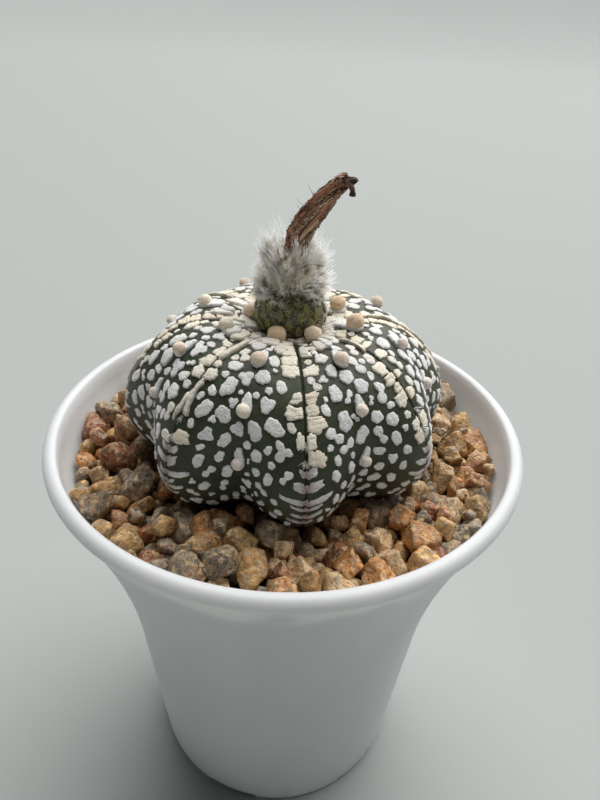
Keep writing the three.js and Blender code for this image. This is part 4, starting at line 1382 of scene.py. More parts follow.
def hairs(roots, leave, bend, lengths, widths):
    """Points of many hairs: where they start, which way they leave, and how their tips are drawn."""
    share = np.linspace(0, 1, HAIR_JOINTS)[:, None]
    path = roots[:, None] + lengths[:, None, None] * (leave[:, None] * share + bend[:, None] * share**2)
    side = unit(np.cross(leave, leave[:, [1, 2, 0]] + 0.1))  # across any other direction will do
    rise = np.cross(leave, side)
    thin = widths[:, None] / 2 * (1 - HAIR_TAPER * share[:, 0])
    corners = []
    for turn in np.radians([0, 120, 240]):
        reach = side * np.cos(turn) + rise * np.sin(turn)
        corners.append(path + reach[:, None] * thin[..., None])
    return np.stack(corners, axis=2).reshape(len(roots), -1, 3)


def hair_faces(count):
    """Faces for so many hairs, closed at the tip."""
    tip = np.array([[0, 1, 2]]) + (HAIR_JOINTS - 1) * 3
    return [repeated(block, HAIR_JOINTS * 3, count) for block in (ring_faces(HAIR_JOINTS, 3), tip)]


# %% [markdown]
# ## The fruit
#
# The fruit is a small olive-green berry, wider at its foot. Little pointed scales stand on it in rows,
# and wool and brown bristles grow from under each. The berry is a turned outline with lumps, and the
# scales are small domes laid on it, as the flecks are on the skin.

# %% Berry
FRUIT_OUTLINE = [
    (3.4, 107.3), (5.1, 108.6), (6, 110.6), (5.9, 112.6), (5.2, 114.6), (4.5, 116.8), (3.9, 119.2), (3, 121),
]
BERRY_ROWS = 60
BERRY_COLUMNS = 72
BERRY_SWELL = {"length": 2.2, "share": 0.02}


def fruit_radius(height):
    """Radius of the berry at a height."""
    outline = smooth_path(FRUIT_OUTLINE, np.linspace(0, 1, 200))
    return np.interp(height, outline[:, 1], outline[:, 0])


def on_fruit(height, azimuth, down, aside, out):
    """Points down and aside of a place on the berry, and raised from it."""
    level = height - down
    radius = fruit_radius(level)
    return polar(radius + out, azimuth + np.degrees(aside / radius), level)


levels = np.linspace(FRUIT_OUTLINE[0][1], FRUIT_OUTLINE[-1][1], BERRY_ROWS)
turn = np.linspace(0, 360, BERRY_COLUMNS, endpoint=False)
berry = polar(fruit_radius(levels)[:, None], turn, levels[:, None])
swell = 1 + BERRY_SWELL["share"] * ripples(berry, BERRY_SWELL["length"], 81)
berry[..., :2] *= swell[..., None]
berry = np.concatenate([berry.reshape(-1, 3), [(0, 0, levels[0]), (0, 0, levels[-1])]])
berry_blocks = tipped_tube(BERRY_ROWS, BERRY_COLUMNS)
print(f"berry: {2 * fruit_radius(levels).max():.1f} mm across, {levels[-1] - levels[0]:.1f} mm high")

# %% Scales on the berry
SCALE_ROWS = [108.9, 110.2, 111.5, 112.8, 114.1, 115.4]
SCALES_ROUND = 11
SCALE_BLOBS = np.array([(0.25, 0), (-0.35, 0), (-0.85, 0)])
SCALE_RADII = [0.62, 0.5, 0.25]
SCALE_SIZE = (0.8, 1.1)
SCALE_RISE = (0.25, 0.45)

draw = np.random.default_rng(82)
scale_turn = np.arange(SCALES_ROUND) * 360 / SCALES_ROUND
scale_level, scale_turn = np.meshgrid(SCALE_ROWS, scale_turn, indexing="ij")
scale_turn = scale_turn + (np.arange(len(SCALE_ROWS)) % 2)[:, None] * 180 / SCALES_ROUND
scale_level = scale_level.ravel() + draw.uniform(-0.15, 0.15, scale_level.size)
scale_turn = scale_turn.ravel() + draw.uniform(-4, 4, scale_turn.size)
scale_count = len(scale_level)
scale_blobs = SCALE_BLOBS * draw.uniform(*SCALE_SIZE, (scale_count, 1, 1))
scale_radii = np.tile(SCALE_RADII, (scale_count, 1))
scale_outlines = melted_outlines(scale_blobs, scale_radii, draw)
scale_rises = draw.uniform(*SCALE_RISE, scale_count)
scales = dome_points(on_fruit, scale_level, scale_turn, scale_outlines, scale_rises, 83)
print("scales:", scale_count)

# %% Olive skin of the berry
OLIVE = tone("#6e6c2d")
OLIVE_DARK = tone("#38371a")
SCALE_TIP = tone("#827d49")
OLIVE_GLOW = (0.001, 0.0014, 0.0005)  # how far light creeps in the flesh, in metres

olive, tree, shader = new_finish(
    "fruit_skin", roughness=0.42,
    subsurface_weight=0.1, subsurface_scale=1.0, subsurface_radius=OLIVE_GLOW,
)
mottle = between(tree, noise(tree, 0.9, 4), 0.35, 0.7)
feed(tree, shader.inputs["Base Color"], blended(tree, mottle, OLIVE_DARK, OLIVE))
relief(tree, shader, noise(tree, 2.5, 3), 0.08)
olive_scales, tree, shader = new_finish("fruit_scales", roughness=0.5)
mottle = between(tree, noise(tree, 1.5, 4), 0.4, 0.65)
feed(tree, shader.inputs["Base Color"], blended(tree, mottle, OLIVE, SCALE_TIP))
relief(tree, shader, noise(tree, 3, 3), 0.08)

fruit = add_piece("fruit_berry", berry, berry_blocks, olive, "fruit_skin")
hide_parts("fruit")
add_piece("fruit_scales", scales, dome_faces(scale_count), olive_scales, "fruit_skin")

# %% [markdown]
# ## Wool on the fruit
#
# Low on the berry the hairs are short and lie close, like a torn net. Higher up they stand off and
# thicken, until they form a dense grey ruff round the foot of the flower. The ruff has one rule: the
# lowest hairs are short and hang down, and the higher a hair starts, the longer it is and the more it
# points up. It also grows thinner, and greyer and darker, which is painted shade on the hairs that stand
# against the bright sky. Hairs come in clumps, each with a random grey of its own, and the lowest clumps
# wander up and down, so that the ruff ends in a ragged edge.

# %% Wool finish
WOOL_WHITE = np.array(tone("#fffaec"))
WOOL_GREY = np.array(tone("#dacdb1"))
BRISTLE_BROWN = np.array(tone("#94794c"))
WOOL_GLOW = (0.0015, 0.0014, 0.0012)  # how far light creeps from hair to hair, in metres

wool, tree, shader = new_finish(
    "wool", roughness=0.7,
    subsurface_weight=0.9, subsurface_scale=1.0, subsurface_radius=WOOL_GLOW,
)
tint = carried(tree, "tint", "Color")
strand = between(tree, noise(tree, 1.2, 2), 0.3, 0.7)
feed(tree, shader.inputs["Base Color"], blended(tree, strand, shaded(tree, tint, 0.97), tint))

# %% [markdown]
# Single hairs would let the green show through to the flower's foot. So they grow from a mat, a lumpy
# solid of wool with the colour of hair and of the shade between hairs. Towards its lower edge the mat
# darkens to the olive of the berry, at a height that wanders, so that no edge is seen.

# %% Matted foot of the ruff
MAT_OUTLINE = [
    (4.9, 113.8), (5.4, 114.8), (5.5, 115.9), (5.25, 117.2), (4.85, 118.7), (4.25, 120.2), (3.4, 121.5),
    (2.0, 122.3),
]
MAT_MIDDLE = 117
MAT_ROWS = 64
MAT_COLUMNS = 110
MAT_LUMPS = [(1.5, 0.42), (0.6, 0.16)]  # length and height
MAT_DRAWN_OUT = (1, 1, 0.6)  # the lumps are longer upwards than across

share = np.linspace(0, 1, MAT_ROWS)
turn = np.linspace(0, 360, MAT_COLUMNS, endpoint=False)
outline = smooth_path(MAT_OUTLINE, share)
mat_points = polar(outline[:, 0, None], turn, outline[:, 1, None])
for number, (length, height) in enumerate(MAT_LUMPS):
    lumps = ripples(mat_points * MAT_DRAWN_OUT, length, 86 + number)[..., None]
    mat_points = mat_points + height * lumps * unit(mat_points - (0, 0, MAT_MIDDLE))
mat_tips = [(0, 0, MAT_OUTLINE[0][1]), (0, 0, MAT_OUTLINE[-1][1])]
mat_points = np.concatenate([mat_points.reshape(-1, 3), mat_tips])
mat_blocks = tipped_tube(MAT_ROWS, MAT_COLUMNS)

# %% Matted wool
MAT_HOLLOW = tone("#3c3a22")
MAT_SHADE = tone("#ddd4bc")
MAT_HAIR = tone("#f6ecd6")
MAT_FADE = (116.2, 119.4)  # heights between which the mat thickens
MAT_WANDER = 3.5  # how far the heights of the mat's lower edge wander
MAT_STREAKS = (-0.22, 0.07)  # what is added to the streaks where the mat is thin and where it is thick
MAT_GLOW = (0.003, 0.0029, 0.0027)

matted, tree, shader = new_finish(
    "matted_wool", roughness=0.9,
    subsurface_weight=0.9, subsurface_scale=1.0, subsurface_radius=MAT_GLOW,
)
streaks = noise(tree, 2.0, 5, (1, 1, 0.3))
wander = {0: noise(tree, 0.3, 1), 1: MAT_WANDER * MM, 2: height_on(tree)}
level = node(tree, "Math", "Value", wander, operation="MULTIPLY_ADD")
from_level, to_level = ((height + MAT_WANDER / 2) * MM for height in MAT_FADE)
thick = between(tree, level, from_level, to_level)
sockets = {"Value": thick, "To Min": MAT_STREAKS[0], "To Max": MAT_STREAKS[1]}
added = node(tree, "MapRange", "Result", sockets)
seen_streaks = node(tree, "Math", "Value", {0: streaks, 1: added}, operation="ADD")
hollow = blended(tree, thick, MAT_HOLLOW, MAT_SHADE)
matted_colour = blended(tree, between(tree, seen_streaks, 0.4, 0.52), hollow, MAT_HAIR)
feed(tree, shader.inputs["Base Color"], matted_colour)
relief(tree, shader, streaks, 0.2)
mat_piece = add_piece("fruit_mat", mat_points, mat_blocks, matted, "fruit_wool")
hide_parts("fruit_wool")

# %% Long hairs of the ruff
RUFF_COUNT = 4600
CLUMP_COUNT = 330
RUFF_SPAN = (0.1, 0.92)  # shares of the way up the mat
RUFF_LENGTH = (1.7, 4.0)  # of the lowest and of the highest hairs
RUFF_TILT = (-32, 56)  # degrees up of the lowest and of the highest hairs
CLUMP_SPREAD = 2.4  # degrees round the fruit
RAGGED_EDGE = {"length": 4.0, "height": 0.24}  # the lower edge of the ruff wanders up this share of it
HAIR_WIDTH = (0.08, 0.21)
TOP_THINNER = 0.3  # the highest hairs are this much thinner than the lowest
TOP_PAINTED_SHADE = 0.42  # and this much darker, as painted shade against the bright sky
UPWARD = (0, 0, 0.1)  # how every hair's tip is drawn, in shares of its length


def part_way(limits, share):
    """A value between two limits, a share of the way from the first to the second."""
    return limits[0] + (limits[1] - limits[0]) * share


draw = np.random.default_rng(91)
clump_rise = draw.uniform(0, 1, CLUMP_COUNT) ** 0.85
clump_turn = np.arange(CLUMP_COUNT) * GOLDEN_ANGLE + draw.uniform(-9, 9, CLUMP_COUNT)
ragged = RAGGED_EDGE["height"] * (0.5 + 0.5 * ripples(polar(5, clump_turn, 0), RAGGED_EDGE["length"], 94))
clump_rise = ragged + (1 - ragged) * clump_rise
clump_heading = clump_turn + draw.normal(0, 22, CLUMP_COUNT)
clump_tilt = part_way(RUFF_TILT, clump_rise**0.6) + draw.normal(0, 15, CLUMP_COUNT)
clump_length = draw.uniform(0.6, 1.1, CLUMP_COUNT)
clump_grey = draw.uniform(0, 0.6, CLUMP_COUNT)
own = draw.integers(0, CLUMP_COUNT, RUFF_COUNT)
rise = np.clip(clump_rise[own] + draw.normal(0, 0.02, RUFF_COUNT), 0, 1)
foot = smooth_path(MAT_OUTLINE, part_way(RUFF_SPAN, rise))
turn = clump_turn[own] + draw.normal(0, CLUMP_SPREAD, RUFF_COUNT)
roots = polar(foot[:, 0] - 0.3, turn, foot[:, 1])
outward = polar(1, clump_heading[own] + draw.normal(0, 11, RUFF_COUNT), 0)
tilt = np.radians(clump_tilt[own] + draw.normal(0, 10, RUFF_COUNT))[:, None]
leave = unit(outward * np.cos(tilt) + np.array([0, 0, 1]) * np.sin(tilt))
clump_bend = draw.normal(0, 0.14, (CLUMP_COUNT, 3))
bend = clump_bend[own] + draw.normal(0, 0.1, (RUFF_COUNT, 3)) + UPWARD
length = part_way(RUFF_LENGTH, rise**1.3)
length = length * clump_length[own] * draw.uniform(0.7, 1.15, RUFF_COUNT)
hair_width = draw.uniform(*HAIR_WIDTH, RUFF_COUNT) * (1 - TOP_THINNER * rise**2)
ruff = hairs(roots, leave, bend, length, hair_width)
# painted shade: hairs turn greyer and darker the higher they start, over each clump's own random grey
grey = np.clip(clump_grey[own] + draw.uniform(-0.6, 0.2, RUFF_COUNT) + 0.8 * rise**2, 0, 1)[:, None]
hair_tints = mixed(WOOL_WHITE, WOOL_GREY, grey) * (1 - TOP_PAINTED_SHADE * rise[:, None] ** 3)
ruff_tints = np.repeat(hair_tints, HAIR_JOINTS * 3, axis=0)
add_piece("fruit_ruff", ruff, hair_faces(RUFF_COUNT), wool, "fruit_wool", tint=ruff_tints)

# %% Net of hairs and bristles low on the berry
NET_COUNT = 1250
NET_BAND = (107.8, 117.5)  # heights
NET_LENGTH = (1.0, 2.6)
NET_WIDTH = (0.06, 0.13)
NET_GREY = np.array(tone("#ddd8c4"))
NET_CLING = 0.35  # how far the tips bend back to the berry, in shares of their length
BRISTLES = 0.3  # share of the hairs that are brown bristles

draw = np.random.default_rng(92)
start = draw.uniform(*NET_BAND, NET_COUNT)
turn = draw.uniform(0, 360, NET_COUNT)
roots = polar(fruit_radius(start) + 0.1, turn, start)
outward = polar(1, turn, 0)
around = polar(1, turn + 90, 0) * draw.choice([-1, 1], NET_COUNT)[:, None]
climb = draw.uniform(-0.5, 1, (NET_COUNT, 1)) * np.array([0, 0, 1])
sideways = around * draw.uniform(0.2, 1, (NET_COUNT, 1))
leave = unit(sideways + climb + outward * draw.uniform(0.1, 0.5, (NET_COUNT, 1)))
bend = -NET_CLING * outward + draw.normal(0, 0.12, (NET_COUNT, 3))
length = draw.uniform(*NET_LENGTH, NET_COUNT)
net = hairs(roots, leave, bend, length, draw.uniform(*NET_WIDTH, NET_COUNT))
bristle = draw.uniform(0, 1, (NET_COUNT, 1)) < BRISTLES
net_tints = np.repeat(np.where(bristle, BRISTLE_BROWN, NET_GREY), HAIR_JOINTS * 3, axis=0)
add_piece("fruit_net", net, hair_faces(NET_COUNT), wool, "fruit_wool", tint=net_tints)

# %% [markdown]
# The same kind of hair also grows in tiny tufts on the seams, low down, where an areole has failed.

# %% Tufts on the seams
TUFT_HEIGHTS = [102.3, 100.1]
TUFT_HAIRS = 24
TUFT_LENGTH = (0.8, 1.7)
TUFT_WIDTH = 0.16
TUFT_FAN = 0.45  # radians to either side of the way that a tuft hangs

draw = np.random.default_rng(95)
tuft_along, tuft_azimuth, hang = [], [], []
for crest in crests:
    for height in TUFT_HEIGHTS:
        along = along_at(crest, height + draw.uniform(-0.6, 0.6))
        tuft_along += [along] * TUFT_HAIRS
        tuft_azimuth += [crest + draw.uniform(-0.5, 0.5)] * TUFT_HAIRS
        hang += list(draw.uniform(-0.7, 0.7) + draw.normal(0, TUFT_FAN, TUFT_HAIRS))
tuft_along, tuft_azimuth, hang = (np.array(column) for column in (tuft_along, tuft_azimuth, hang))
tuft_count = len(tuft_along)
tuft_down, tuft_around = (unit(step) for step in skin_slopes(tuft_along, tuft_azimuth))
tuft_out = unit(np.cross(tuft_down, tuft_around))
lift = draw.uniform(0.15, 0.8, (tuft_count, 1))
leave = unit(tuft_down * np.cos(hang)[:, None] + tuft_around * np.sin(hang)[:, None] + tuft_out * lift)
tuft_roots = skin_point(tuft_along, tuft_azimuth) - 0.1 * tuft_out
bend = draw.normal(0, 0.1, (tuft_count, 3))
tuft_length = draw.uniform(*TUFT_LENGTH, tuft_count)
tufts = hairs(tuft_roots, leave, bend, tuft_length, np.full(tuft_count, TUFT_WIDTH))
tuft_tints = np.tile(FELT_CREAM, (tuft_count * HAIR_JOINTS * 3, 1))
add_piece("seam_tufts", tufts, hair_faces(tuft_count), wool, "cactus_felt", tint=tuft_tints)

# %% [markdown]
# ## The withered flower
#
# What is left of the flower is a bundle of papery petals, dried to a brown twist and leaning to one side.
# A tube along a bent path gives its body. Its section has deep folds that turn as they climb, like a
# wrung cloth. Loose petal strips lie over it and end short, at different heights, with ragged edges.

# %% Path of the flower
FLOWER_PATH = [
    (0.2, 0, 121.3), (0.8, 0, 124.4), (2.7, 0, 128.0), (5.0, 0, 131.2), (7.2, 0, 133.4), (8.5, 0, 133.9),
]
FLOWER_RADIUS = [1.75, 1.8, 1.6, 1.3, 0.98, 0.7]
FLOWER_TWIST = 110
FOLDS = 5
FOLD_DEPTH = 0.42
CREASES = 19
CREASE_DEPTH = 0.07


def path_frame(path, share):
    """Points of a path in the plane of X and Z, with the two directions across it."""
    points = smooth_path(path, share)
    before, after = np.maximum(share - 0.01, 0), np.minimum(share + 0.01, 1)
    ahead = unit(smooth_path(path, after) - smooth_path(path, before))
    across = np.broadcast_to([0.0, 1.0, 0.0], ahead.shape)
    return points, unit(np.cross(across, ahead)), across


def tube_points(path, share, reach, angle):
    """Points round a path, from shares of the way, distances out and angles."""
    middle, side, across = path_frame(path, share)
    return middle + side * (np.cos(angle) * reach)[..., None] + across * (np.sin(angle) * reach)[..., None]


def flower_reach(share, angle):
    """How far out the folded skin of the flower lies."""
    radius = np.interp(share, np.linspace(0, 1, len(FLOWER_RADIUS)), FLOWER_RADIUS)
    own = angle - np.radians(FLOWER_TWIST) * share
    fold = np.abs(np.cos(FOLDS * own / 2 + 0.5 * np.sin(7 * share)))
    crease = np.abs(np.sin(CREASES * own / 2 + 2 * np.sin(5 * share)))
    return radius * (1 - FOLD_DEPTH * (1 - fold**0.7) - CREASE_DEPTH * crease)


# %% Body of the flower
FLOWER_ROWS = 110
FLOWER_COLUMNS = 120
FLOWER_LUMPS = {"length": 1.3, "height": 0.1}

rows = np.linspace(0, 1, FLOWER_ROWS)
turn = np.linspace(0, 2 * np.pi, FLOWER_COLUMNS, endpoint=False)
share, angle = np.meshgrid(rows, turn, indexing="ij")
body = tube_points(FLOWER_PATH, share, flower_reach(share, angle), angle)
lumps = FLOWER_LUMPS["height"] * ripples(body, FLOWER_LUMPS["length"], 101)[..., None]
body += lumps * unit(body - smooth_path(FLOWER_PATH, share))
body_points = np.concatenate([body.reshape(-1, 3), smooth_path(FLOWER_PATH, np.array([0.0, 1.0]))])
body_blocks = tipped_tube(FLOWER_ROWS, FLOWER_COLUMNS)
body_grain = np.append((angle - np.radians(FLOWER_TWIST) * share).ravel() / (2 * np.pi), [0, 0])
body_way = np.append(share.ravel(), [0, 1])
print(f"flower: leans {FLOWER_PATH[-1][0] - FLOWER_PATH[0][0]:.1f} mm out, up to {body[..., 2].max():.1f} mm")

# %% [markdown]
# The petal strips follow the same twist a little further out. Each is a flat, closed tube: out along one
# face and back along the other, a tenth of a millimetre apart.

# %% Petal strips
STRIP_COUNT = 13
STRIP_ROWS = 44
STRIP_ACROSS = 7
STRIP_THICKNESS = 0.14
STRIP_WIDTH = (0.35, 0.75)  # radians at the foot
STRIP_TAPER = 0.55  # share of its width that a strip loses on the way to its tip
STRIP_RAGGED = {"slow": 0.16, "fast": 0.09}
STRIP_CLING = 0.55  # how closely a strip follows the folds below it
STRIP_LIFT = 0.12  # how far the middle of a strip stands off the twist
STRIP_CURL = 0.75  # and how much further its edges do, at most
TIP_LIFT = 0.5
CRUMPLE = 0.07
GRAIN_STEP = 0.37  # between the veins of one petal and the next, so that no two are alike


def flat_ended_tube(rings, count):
    """Faces of a row of rings, the first and the last of which are filled."""
    last = (rings - 1) * count
    ends = [fan_faces(0, count, 0, inward=True)[1:-1], fan_faces(last, count, last)[1:-1]]
    return [ring_faces(rings, count), np.concatenate(ends)]


def crumpled(points, depth, seed):
    """The same points, moved a little in all three directions."""
    return points + depth * np.stack([ripples(points, 0.9, seed + axis) for axis in range(3)], axis=-1)


draw = np.random.default_rng(102)
strip_points, strip_grain, strip_way = [], [], []
step = np.linspace(0, 1, STRIP_ROWS)[:, None]
face = np.concatenate([np.linspace(-1, 1, STRIP_ACROSS), np.linspace(1, -1, STRIP_ACROSS)])
layer = np.repeat([1.0, 0.0], STRIP_ACROSS)
for strip in range(STRIP_COUNT):
    first, last = draw.uniform(0, 0.3), draw.uniform(0.62, 1.02)
    share = np.clip(first + (last - first) * step, 0, 1)
    width = draw.uniform(*STRIP_WIDTH) * (1 - STRIP_TAPER * step**2)
    width = width * (1 + STRIP_RAGGED["slow"] * np.sin(9 * step + draw.uniform(0, 6)))
    heading = draw.uniform(0, 2 * np.pi) + np.radians(FLOWER_TWIST * draw.uniform(0.8, 1.15)) * share
    angle = heading + face * (width + STRIP_RAGGED["fast"] * draw.normal(size=(STRIP_ROWS, 1)))
    curl = STRIP_CURL * face**2 * draw.uniform(0.15, 1) * (1 - 0.4 * step)
    lift = STRIP_LIFT + curl + TIP_LIFT * np.maximum(step - 0.85, 0)
    share, heading, angle = np.broadcast_arrays(share, heading, angle)
    reach = flower_reach(share, angle) * STRIP_CLING + (1 - STRIP_CLING) * flower_reach(share, heading)
    reach = reach + lift + STRIP_THICKNESS * layer
    strip_points.append(tube_points(FLOWER_PATH, share, reach, angle))
    strip_grain.append((angle - heading) / (2 * np.pi) + strip * GRAIN_STEP)
    strip_way.append(share)
strip_points = crumpled(np.array(strip_points), CRUMPLE, 103)
strip_faces = flat_ended_tube(STRIP_ROWS, 2 * STRIP_ACROSS)
strip_blocks = [repeated(block, STRIP_ROWS * 2 * STRIP_ACROSS, STRIP_COUNT) for block in strip_faces]
print("petal strips:", STRIP_COUNT)

# %% [markdown]
# Dried petals keep their veins as dark lines that run their whole length, and in long streaks the brown
# bleaches to straw. Each point carries where it lies around and along the twist, and the finish
# stretches its noise along it.

# %% Dried petals finish
PETAL_BROWN = tone("#aa8264")
PETAL_DARK = tone("#523829")
PETAL_RUST = tone("#be8064")
PETAL_STRAW = tone("#ecd8b6")
TIP_FROM, TIP_TO = 0.8, 0.98  # shares of the way between which the petals turn dark

withered, tree, shader = new_finish("withered_petals", roughness=0.72)
grain = carried(tree, "grain")
way = carried(tree, "way")


def veins(scale_around, scale_along, low, high):
    """Streaks that run along the petals."""
    wide, long = times(tree, grain, scale_around), times(tree, way, scale_along)
    place = node(tree, "CombineXYZ", "Vector", {"X": wide, "Y": long})
    streak = node(tree, "TexNoise", "Fac", {"Vector": place, "Scale": 1.0, "Detail": 3.0})
    return between(tree, streak, low, high)


petal = blended(tree, veins(9, 3, 0.35, 0.65), PETAL_BROWN, PETAL_RUST)
petal = blended(tree, veins(30, 4, 0.5, 0.62), petal, PETAL_DARK)
petal = blended(tree, veins(10, 0.7, 0.55, 0.63), petal, PETAL_STRAW)
petal = blended(tree, between(tree, way, TIP_FROM, TIP_TO), petal, PETAL_DARK)
feed(tree, shader.inputs["Base Color"], petal)
relief(tree, shader, veins(46, 5, 0.3, 0.7), 0.12)

flower = add_piece(
    "flower_twist", body_points, body_blocks, withered, "withered_flower", grain=body_grain, way=body_way
)
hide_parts("dried_flower")
add_piece(
    "flower_strips", strip_points, strip_blocks, withered, "withered_flower",
    grain=np.ravel(strip_grain), way=np.ravel(strip_way),
)

# %% [markdown]
# On the lower side the petals have torn, and their edges stand off the twist like a ragged fin. Each fin
# is a blade that runs along the path. It goes out along one face and back along the other, and how far
# out it goes changes from row to row.

# %% Torn edges
FIN_COUNT = 6
FIN_ROWS = 44
FIN_ACROSS = 6
FIN_REACH = (0.35, 0.85)  # beyond the twist
FIN_THICKNESS = 0.13
FIN_HEADINGS = (-55, 40)  # degrees, where 0 is straight below the path
FIN_ROOT = 0.55  # how far in a fin is rooted, as a share of the twist's own radius
FIN_RAGGED = {"slow": 0.3, "fast": 0.28}
FIN_CRUMPLE = 0.08

draw = np.random.default_rng(104)
fin_points, fin_grain, fin_way = [], [], []
step = np.linspace(0, 1, FIN_ROWS)[:, None]
face = np.concatenate([np.linspace(0, 1, FIN_ACROSS), np.linspace(1, 0, FIN_ACROSS)])
layer = np.repeat([1.0, 0.0], FIN_ACROSS)
for fin in range(FIN_COUNT):
    first, last = draw.uniform(0.1, 0.4), draw.uniform(0.6, 0.88)
    share = first + (last - first) * step
    heading = np.radians(draw.uniform(*FIN_HEADINGS))
    torn = 1 + FIN_RAGGED["slow"] * np.sin(22 * step + draw.uniform(0, 6))
    torn = torn + FIN_RAGGED["fast"] * draw.normal(size=(FIN_ROWS, 1))
    beyond = draw.uniform(*FIN_REACH) * np.sin(np.pi * step) ** 0.4 * np.clip(torn, 0.2, 1.6)
    inner = flower_reach(share, heading)
    reach = FIN_ROOT * inner + ((1 - FIN_ROOT) * inner + beyond) * face
    angle = heading + 0.2 * np.sin(6 * share + fin) + (layer - 0.5) * FIN_THICKNESS / reach
    share, grain_here, angle = np.broadcast_arrays(share, 0.5 * face + fin * GRAIN_STEP, angle)
    fin_points.append(tube_points(FLOWER_PATH, share, reach, angle))
    fin_grain.append(grain_here)
    fin_way.append(share)
fin_points = crumpled(np.array(fin_points), FIN_CRUMPLE, 105)
fin_faces = flat_ended_tube(FIN_ROWS, 2 * FIN_ACROSS)
fin_blocks = [repeated(block, FIN_ROWS * 2 * FIN_ACROSS, FIN_COUNT) for block in fin_faces]
add_piece(
    "flower_fins", fin_points, fin_blocks, withered, "withered_flower",
    grain=np.ravel(fin_grain), way=np.ravel(fin_way),
)

# %% [markdown]
# A few brown hairs of the flower's tube are left on its upper side.

# %% Stray hairs
STRAY_COUNT = 22
STRAY_SPAN = (0.12, 0.62)
STRAY_LENGTH = (0.9, 2.2)
STRAY_WIDTH = 0.16

draw = np.random.default_rng(108)
share = draw.uniform(*STRAY_SPAN, STRAY_COUNT)
angle = np.radians(180 + draw.uniform(-75, 75, STRAY_COUNT))
stray_roots = tube_points(FLOWER_PATH, share, flower_reach(share, angle) * 0.85, angle)
stray_out = unit(stray_roots - smooth_path(FLOWER_PATH, share))
leave = unit(stray_out + draw.normal(0, 0.35, (STRAY_COUNT, 3)) + np.array([0, 0, 0.5]))
bend = draw.normal(0, 0.2, (STRAY_COUNT, 3))
length = draw.uniform(*STRAY_LENGTH, STRAY_COUNT)
stray = hairs(stray_roots, leave, bend, length, np.full(STRAY_COUNT, STRAY_WIDTH))
dark = np.ones(STRAY_COUNT * HAIR_JOINTS * 3)  # as at the tip of the twist
add_piece("flower_hairs", stray, hair_faces(STRAY_COUNT), withered, "withered_flower", grain=dark, way=dark)

# %% [markdown]
# The tips of the outer petals have dried into small dark hooks. Each is a short creased tube, narrower
# halfway, on a path of its own.

# %% Hooks at the tip
HOOKS = [
    ([(8.1, -0.3, 133.5), (8.8, -0.4, 133.1), (9.1, -0.4, 132.4), (9.1, -0.4, 131.7)], 0.66),
    ([(7.7, 0.2, 133.7), (8.4, 0.2, 134.0), (9.1, 0.2, 134.0), (9.5, 0.2, 133.6)], 0.7),
    ([(7.2, -0.6, 133.3), (8.0, -0.9, 133.8), (8.6, -0.9, 134.1), (9.1, -0.8, 134.1)], 0.5),
]
HOOK_ROWS = 26
HOOK_COLUMNS = 20
HOOK_WAIST = 0.35  # share of its thickness that a hook loses halfway
HOOK_CREASE = 0.25
HOOK_LUMPS = {"length": 0.6, "height": 0.06}
HOOK_WAY = (0.85, 1)  # where along the twist a hook's colour is taken from

hook_rows = np.linspace(0, 1, HOOK_ROWS)
hook_turn = np.linspace(0, 2 * np.pi, HOOK_COLUMNS, endpoint=False)
share, angle = np.meshgrid(hook_rows, hook_turn, indexing="ij")
hook_points, hook_grain, hook_way = [], [], []
for number, (path, thickness) in enumerate(HOOKS):
    waist = 1 - HOOK_WAIST * np.sin(np.pi * share)
    reach = thickness * waist * (1 - HOOK_CREASE * np.abs(np.sin(2.5 * angle + 3 * share)))
    points = tube_points(path, share, reach, angle)
    points += HOOK_LUMPS["height"] * ripples(points, HOOK_LUMPS["length"], 106 + number)[..., None]
    hook_points.append(points)
    hook_grain.append(angle / 6 + number)
    hook_way.append(part_way(HOOK_WAY, share))
hook_faces = flat_ended_tube(HOOK_ROWS, HOOK_COLUMNS)
hook_blocks = [repeated(block, HOOK_ROWS * HOOK_COLUMNS, len(HOOKS)) for block in hook_faces]
add_piece(
    "flower_hooks", hook_points, hook_blocks, withered, "withered_flower",
    grain=np.ravel(hook_grain), way=np.ravel(hook_way),
)

# %% [markdown]
# ## Floor and light
#
# The pot stands on a plain pale floor that rises gently far away on all sides, like a very wide bowl. The
# camera looks nearly level at the top of the picture, and the rise keeps the floor in view there, with
# the same light on it, so no horizon shows. The light is that of an overcast day. A sun lamp can be given
# a width, and at seventy-eight degrees it is no longer a sun but a whole bright sky, above and a little
# behind. It whitens the crown and the rim and leaves the front of the pot in gentle shade. A faint even
# glow from all sides opens the shadows.

# %% Floor
FLOOR_MIDDLE = [60, 400]  # radii of two rings near the pot
FLOOR_BOWL = (2500, 9000)  # radii between which the floor rises
FLOOR_RISE = 2600
FLOOR_STEPS = 30
FLOOR_COLUMNS = 96
FLOOR_TONE = tone("#a4a8a5")

climb = np.linspace(0, 1, FLOOR_STEPS)
floor_radii = np.concatenate([FLOOR_MIDDLE, part_way(FLOOR_BOWL, climb)])
floor_heights = np.concatenate([[0, 0], FLOOR_RISE * climb**2])
floor_turn = np.linspace(0, 360, FLOOR_COLUMNS, endpoint=False)
floor_points = polar(floor_radii[:, None], floor_turn, floor_heights[:, None])
floor_points = np.concatenate([floor_points.reshape(-1, 3), [(0, 0, 0)]])
floor_faces = ring_faces(len(floor_radii), FLOOR_COLUMNS).tolist()
floor_faces += fan_faces(0, FLOOR_COLUMNS, len(floor_points) - 1, inward=True).tolist()
floor_mesh = bpy.data.meshes.new("floor")
floor_mesh.from_pydata((floor_points * MM).tolist(), [], floor_faces)
floor_mesh.flip_normals()
floor_mesh.shade_smooth()
paint, tree, shader = new_finish("floor_paint", roughness=0.8)
feed(tree, shader.inputs["Base Color"], FLOOR_TONE)
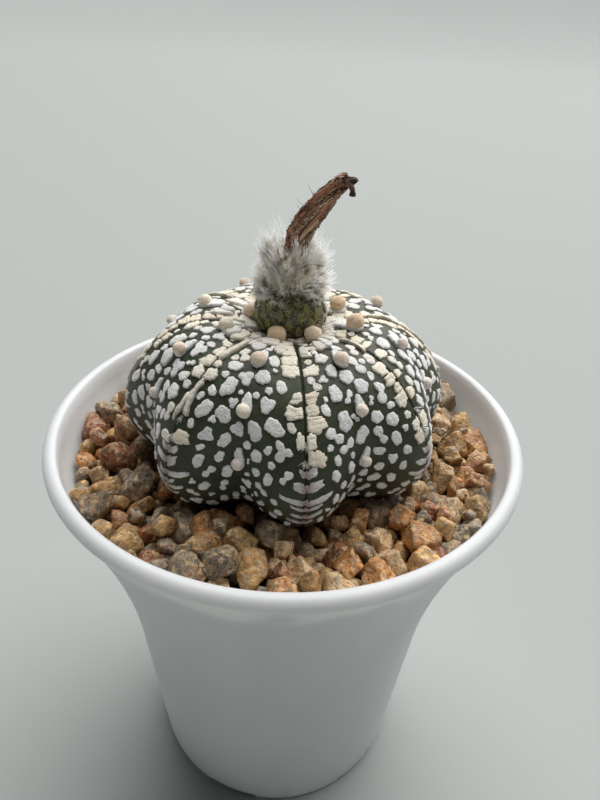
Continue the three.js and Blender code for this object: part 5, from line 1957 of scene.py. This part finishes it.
floor_mesh.materials.append(paint)
floor = bpy.data.objects.new("floor", floor_mesh)
bpy.context.scene.collection.objects.link(floor)
floor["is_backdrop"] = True
print(f"floor: {2 * FLOOR_BOWL[1] * MM:.0f} m across")

# %% Light
SKY_FROM = (0.29, 0.68, 1.0)  # the way from the pot to the middle of the sky
SKY_STRENGTH = 4.9
SKY_WIDTH = 78  # degrees of the sky that are bright

sky = bpy.data.lights.new("bright_sky", "SUN")
sky.energy = SKY_STRENGTH
sky.angle = np.radians(SKY_WIDTH)
sky_holder = bpy.data.objects.new("bright_sky", sky)
sky_holder.rotation_euler = Vector(SKY_FROM).to_track_quat("Z", "Y").to_euler()
bpy.context.scene.collection.objects.link(sky_holder)
print(f"sky: {SKY_WIDTH} degrees wide, from {np.round(SKY_FROM, 2).tolist()}")

# %% [markdown]
# From low down the eye looks past the far edge of the floor. What it sees there should be as pale as the
# floor, but a world as bright as that would light the pot from below the rim of the sky. So the world has
# two tones: a dim one that gives the glow, and a pale one that only a direct look finds.

# %% World
GLOW_TONE = (0.95, 0.97, 1.0)
GLOW_STRENGTH = 0.04
BACKDROP_TONE = tone("#c1c6c2")

world = bpy.data.worlds.new("overcast")
world.use_nodes = True
tree = world.node_tree
glow = tree.nodes["Background"]
feed(tree, glow.inputs["Color"], GLOW_TONE)
feed(tree, glow.inputs["Strength"], GLOW_STRENGTH)
backdrop = node(tree, "Background", "Background", {"Color": BACKDROP_TONE})
looked_at = node(tree, "LightPath", "Is Camera Ray")
either = node(tree, "MixShader", "Shader", {0: looked_at, 1: glow.outputs["Background"], 2: backdrop})
feed(tree, tree.nodes["World Output"].inputs["Surface"], either)
bpy.context.scene.world = world

# %% [markdown]
# ## Sizes
#
# The fine pieces are meant to stay within the box of the imported solids. How far they reach beyond it
# on each side is printed, in millimetres.

# %% Compare the boxes
seen_low, seen_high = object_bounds()
growth = (*(CAD_LOW - seen_low), *(seen_high - CAD_HIGH))
print("grown by, in mm:", [round(float(length) / MM, 2) for length in growth])
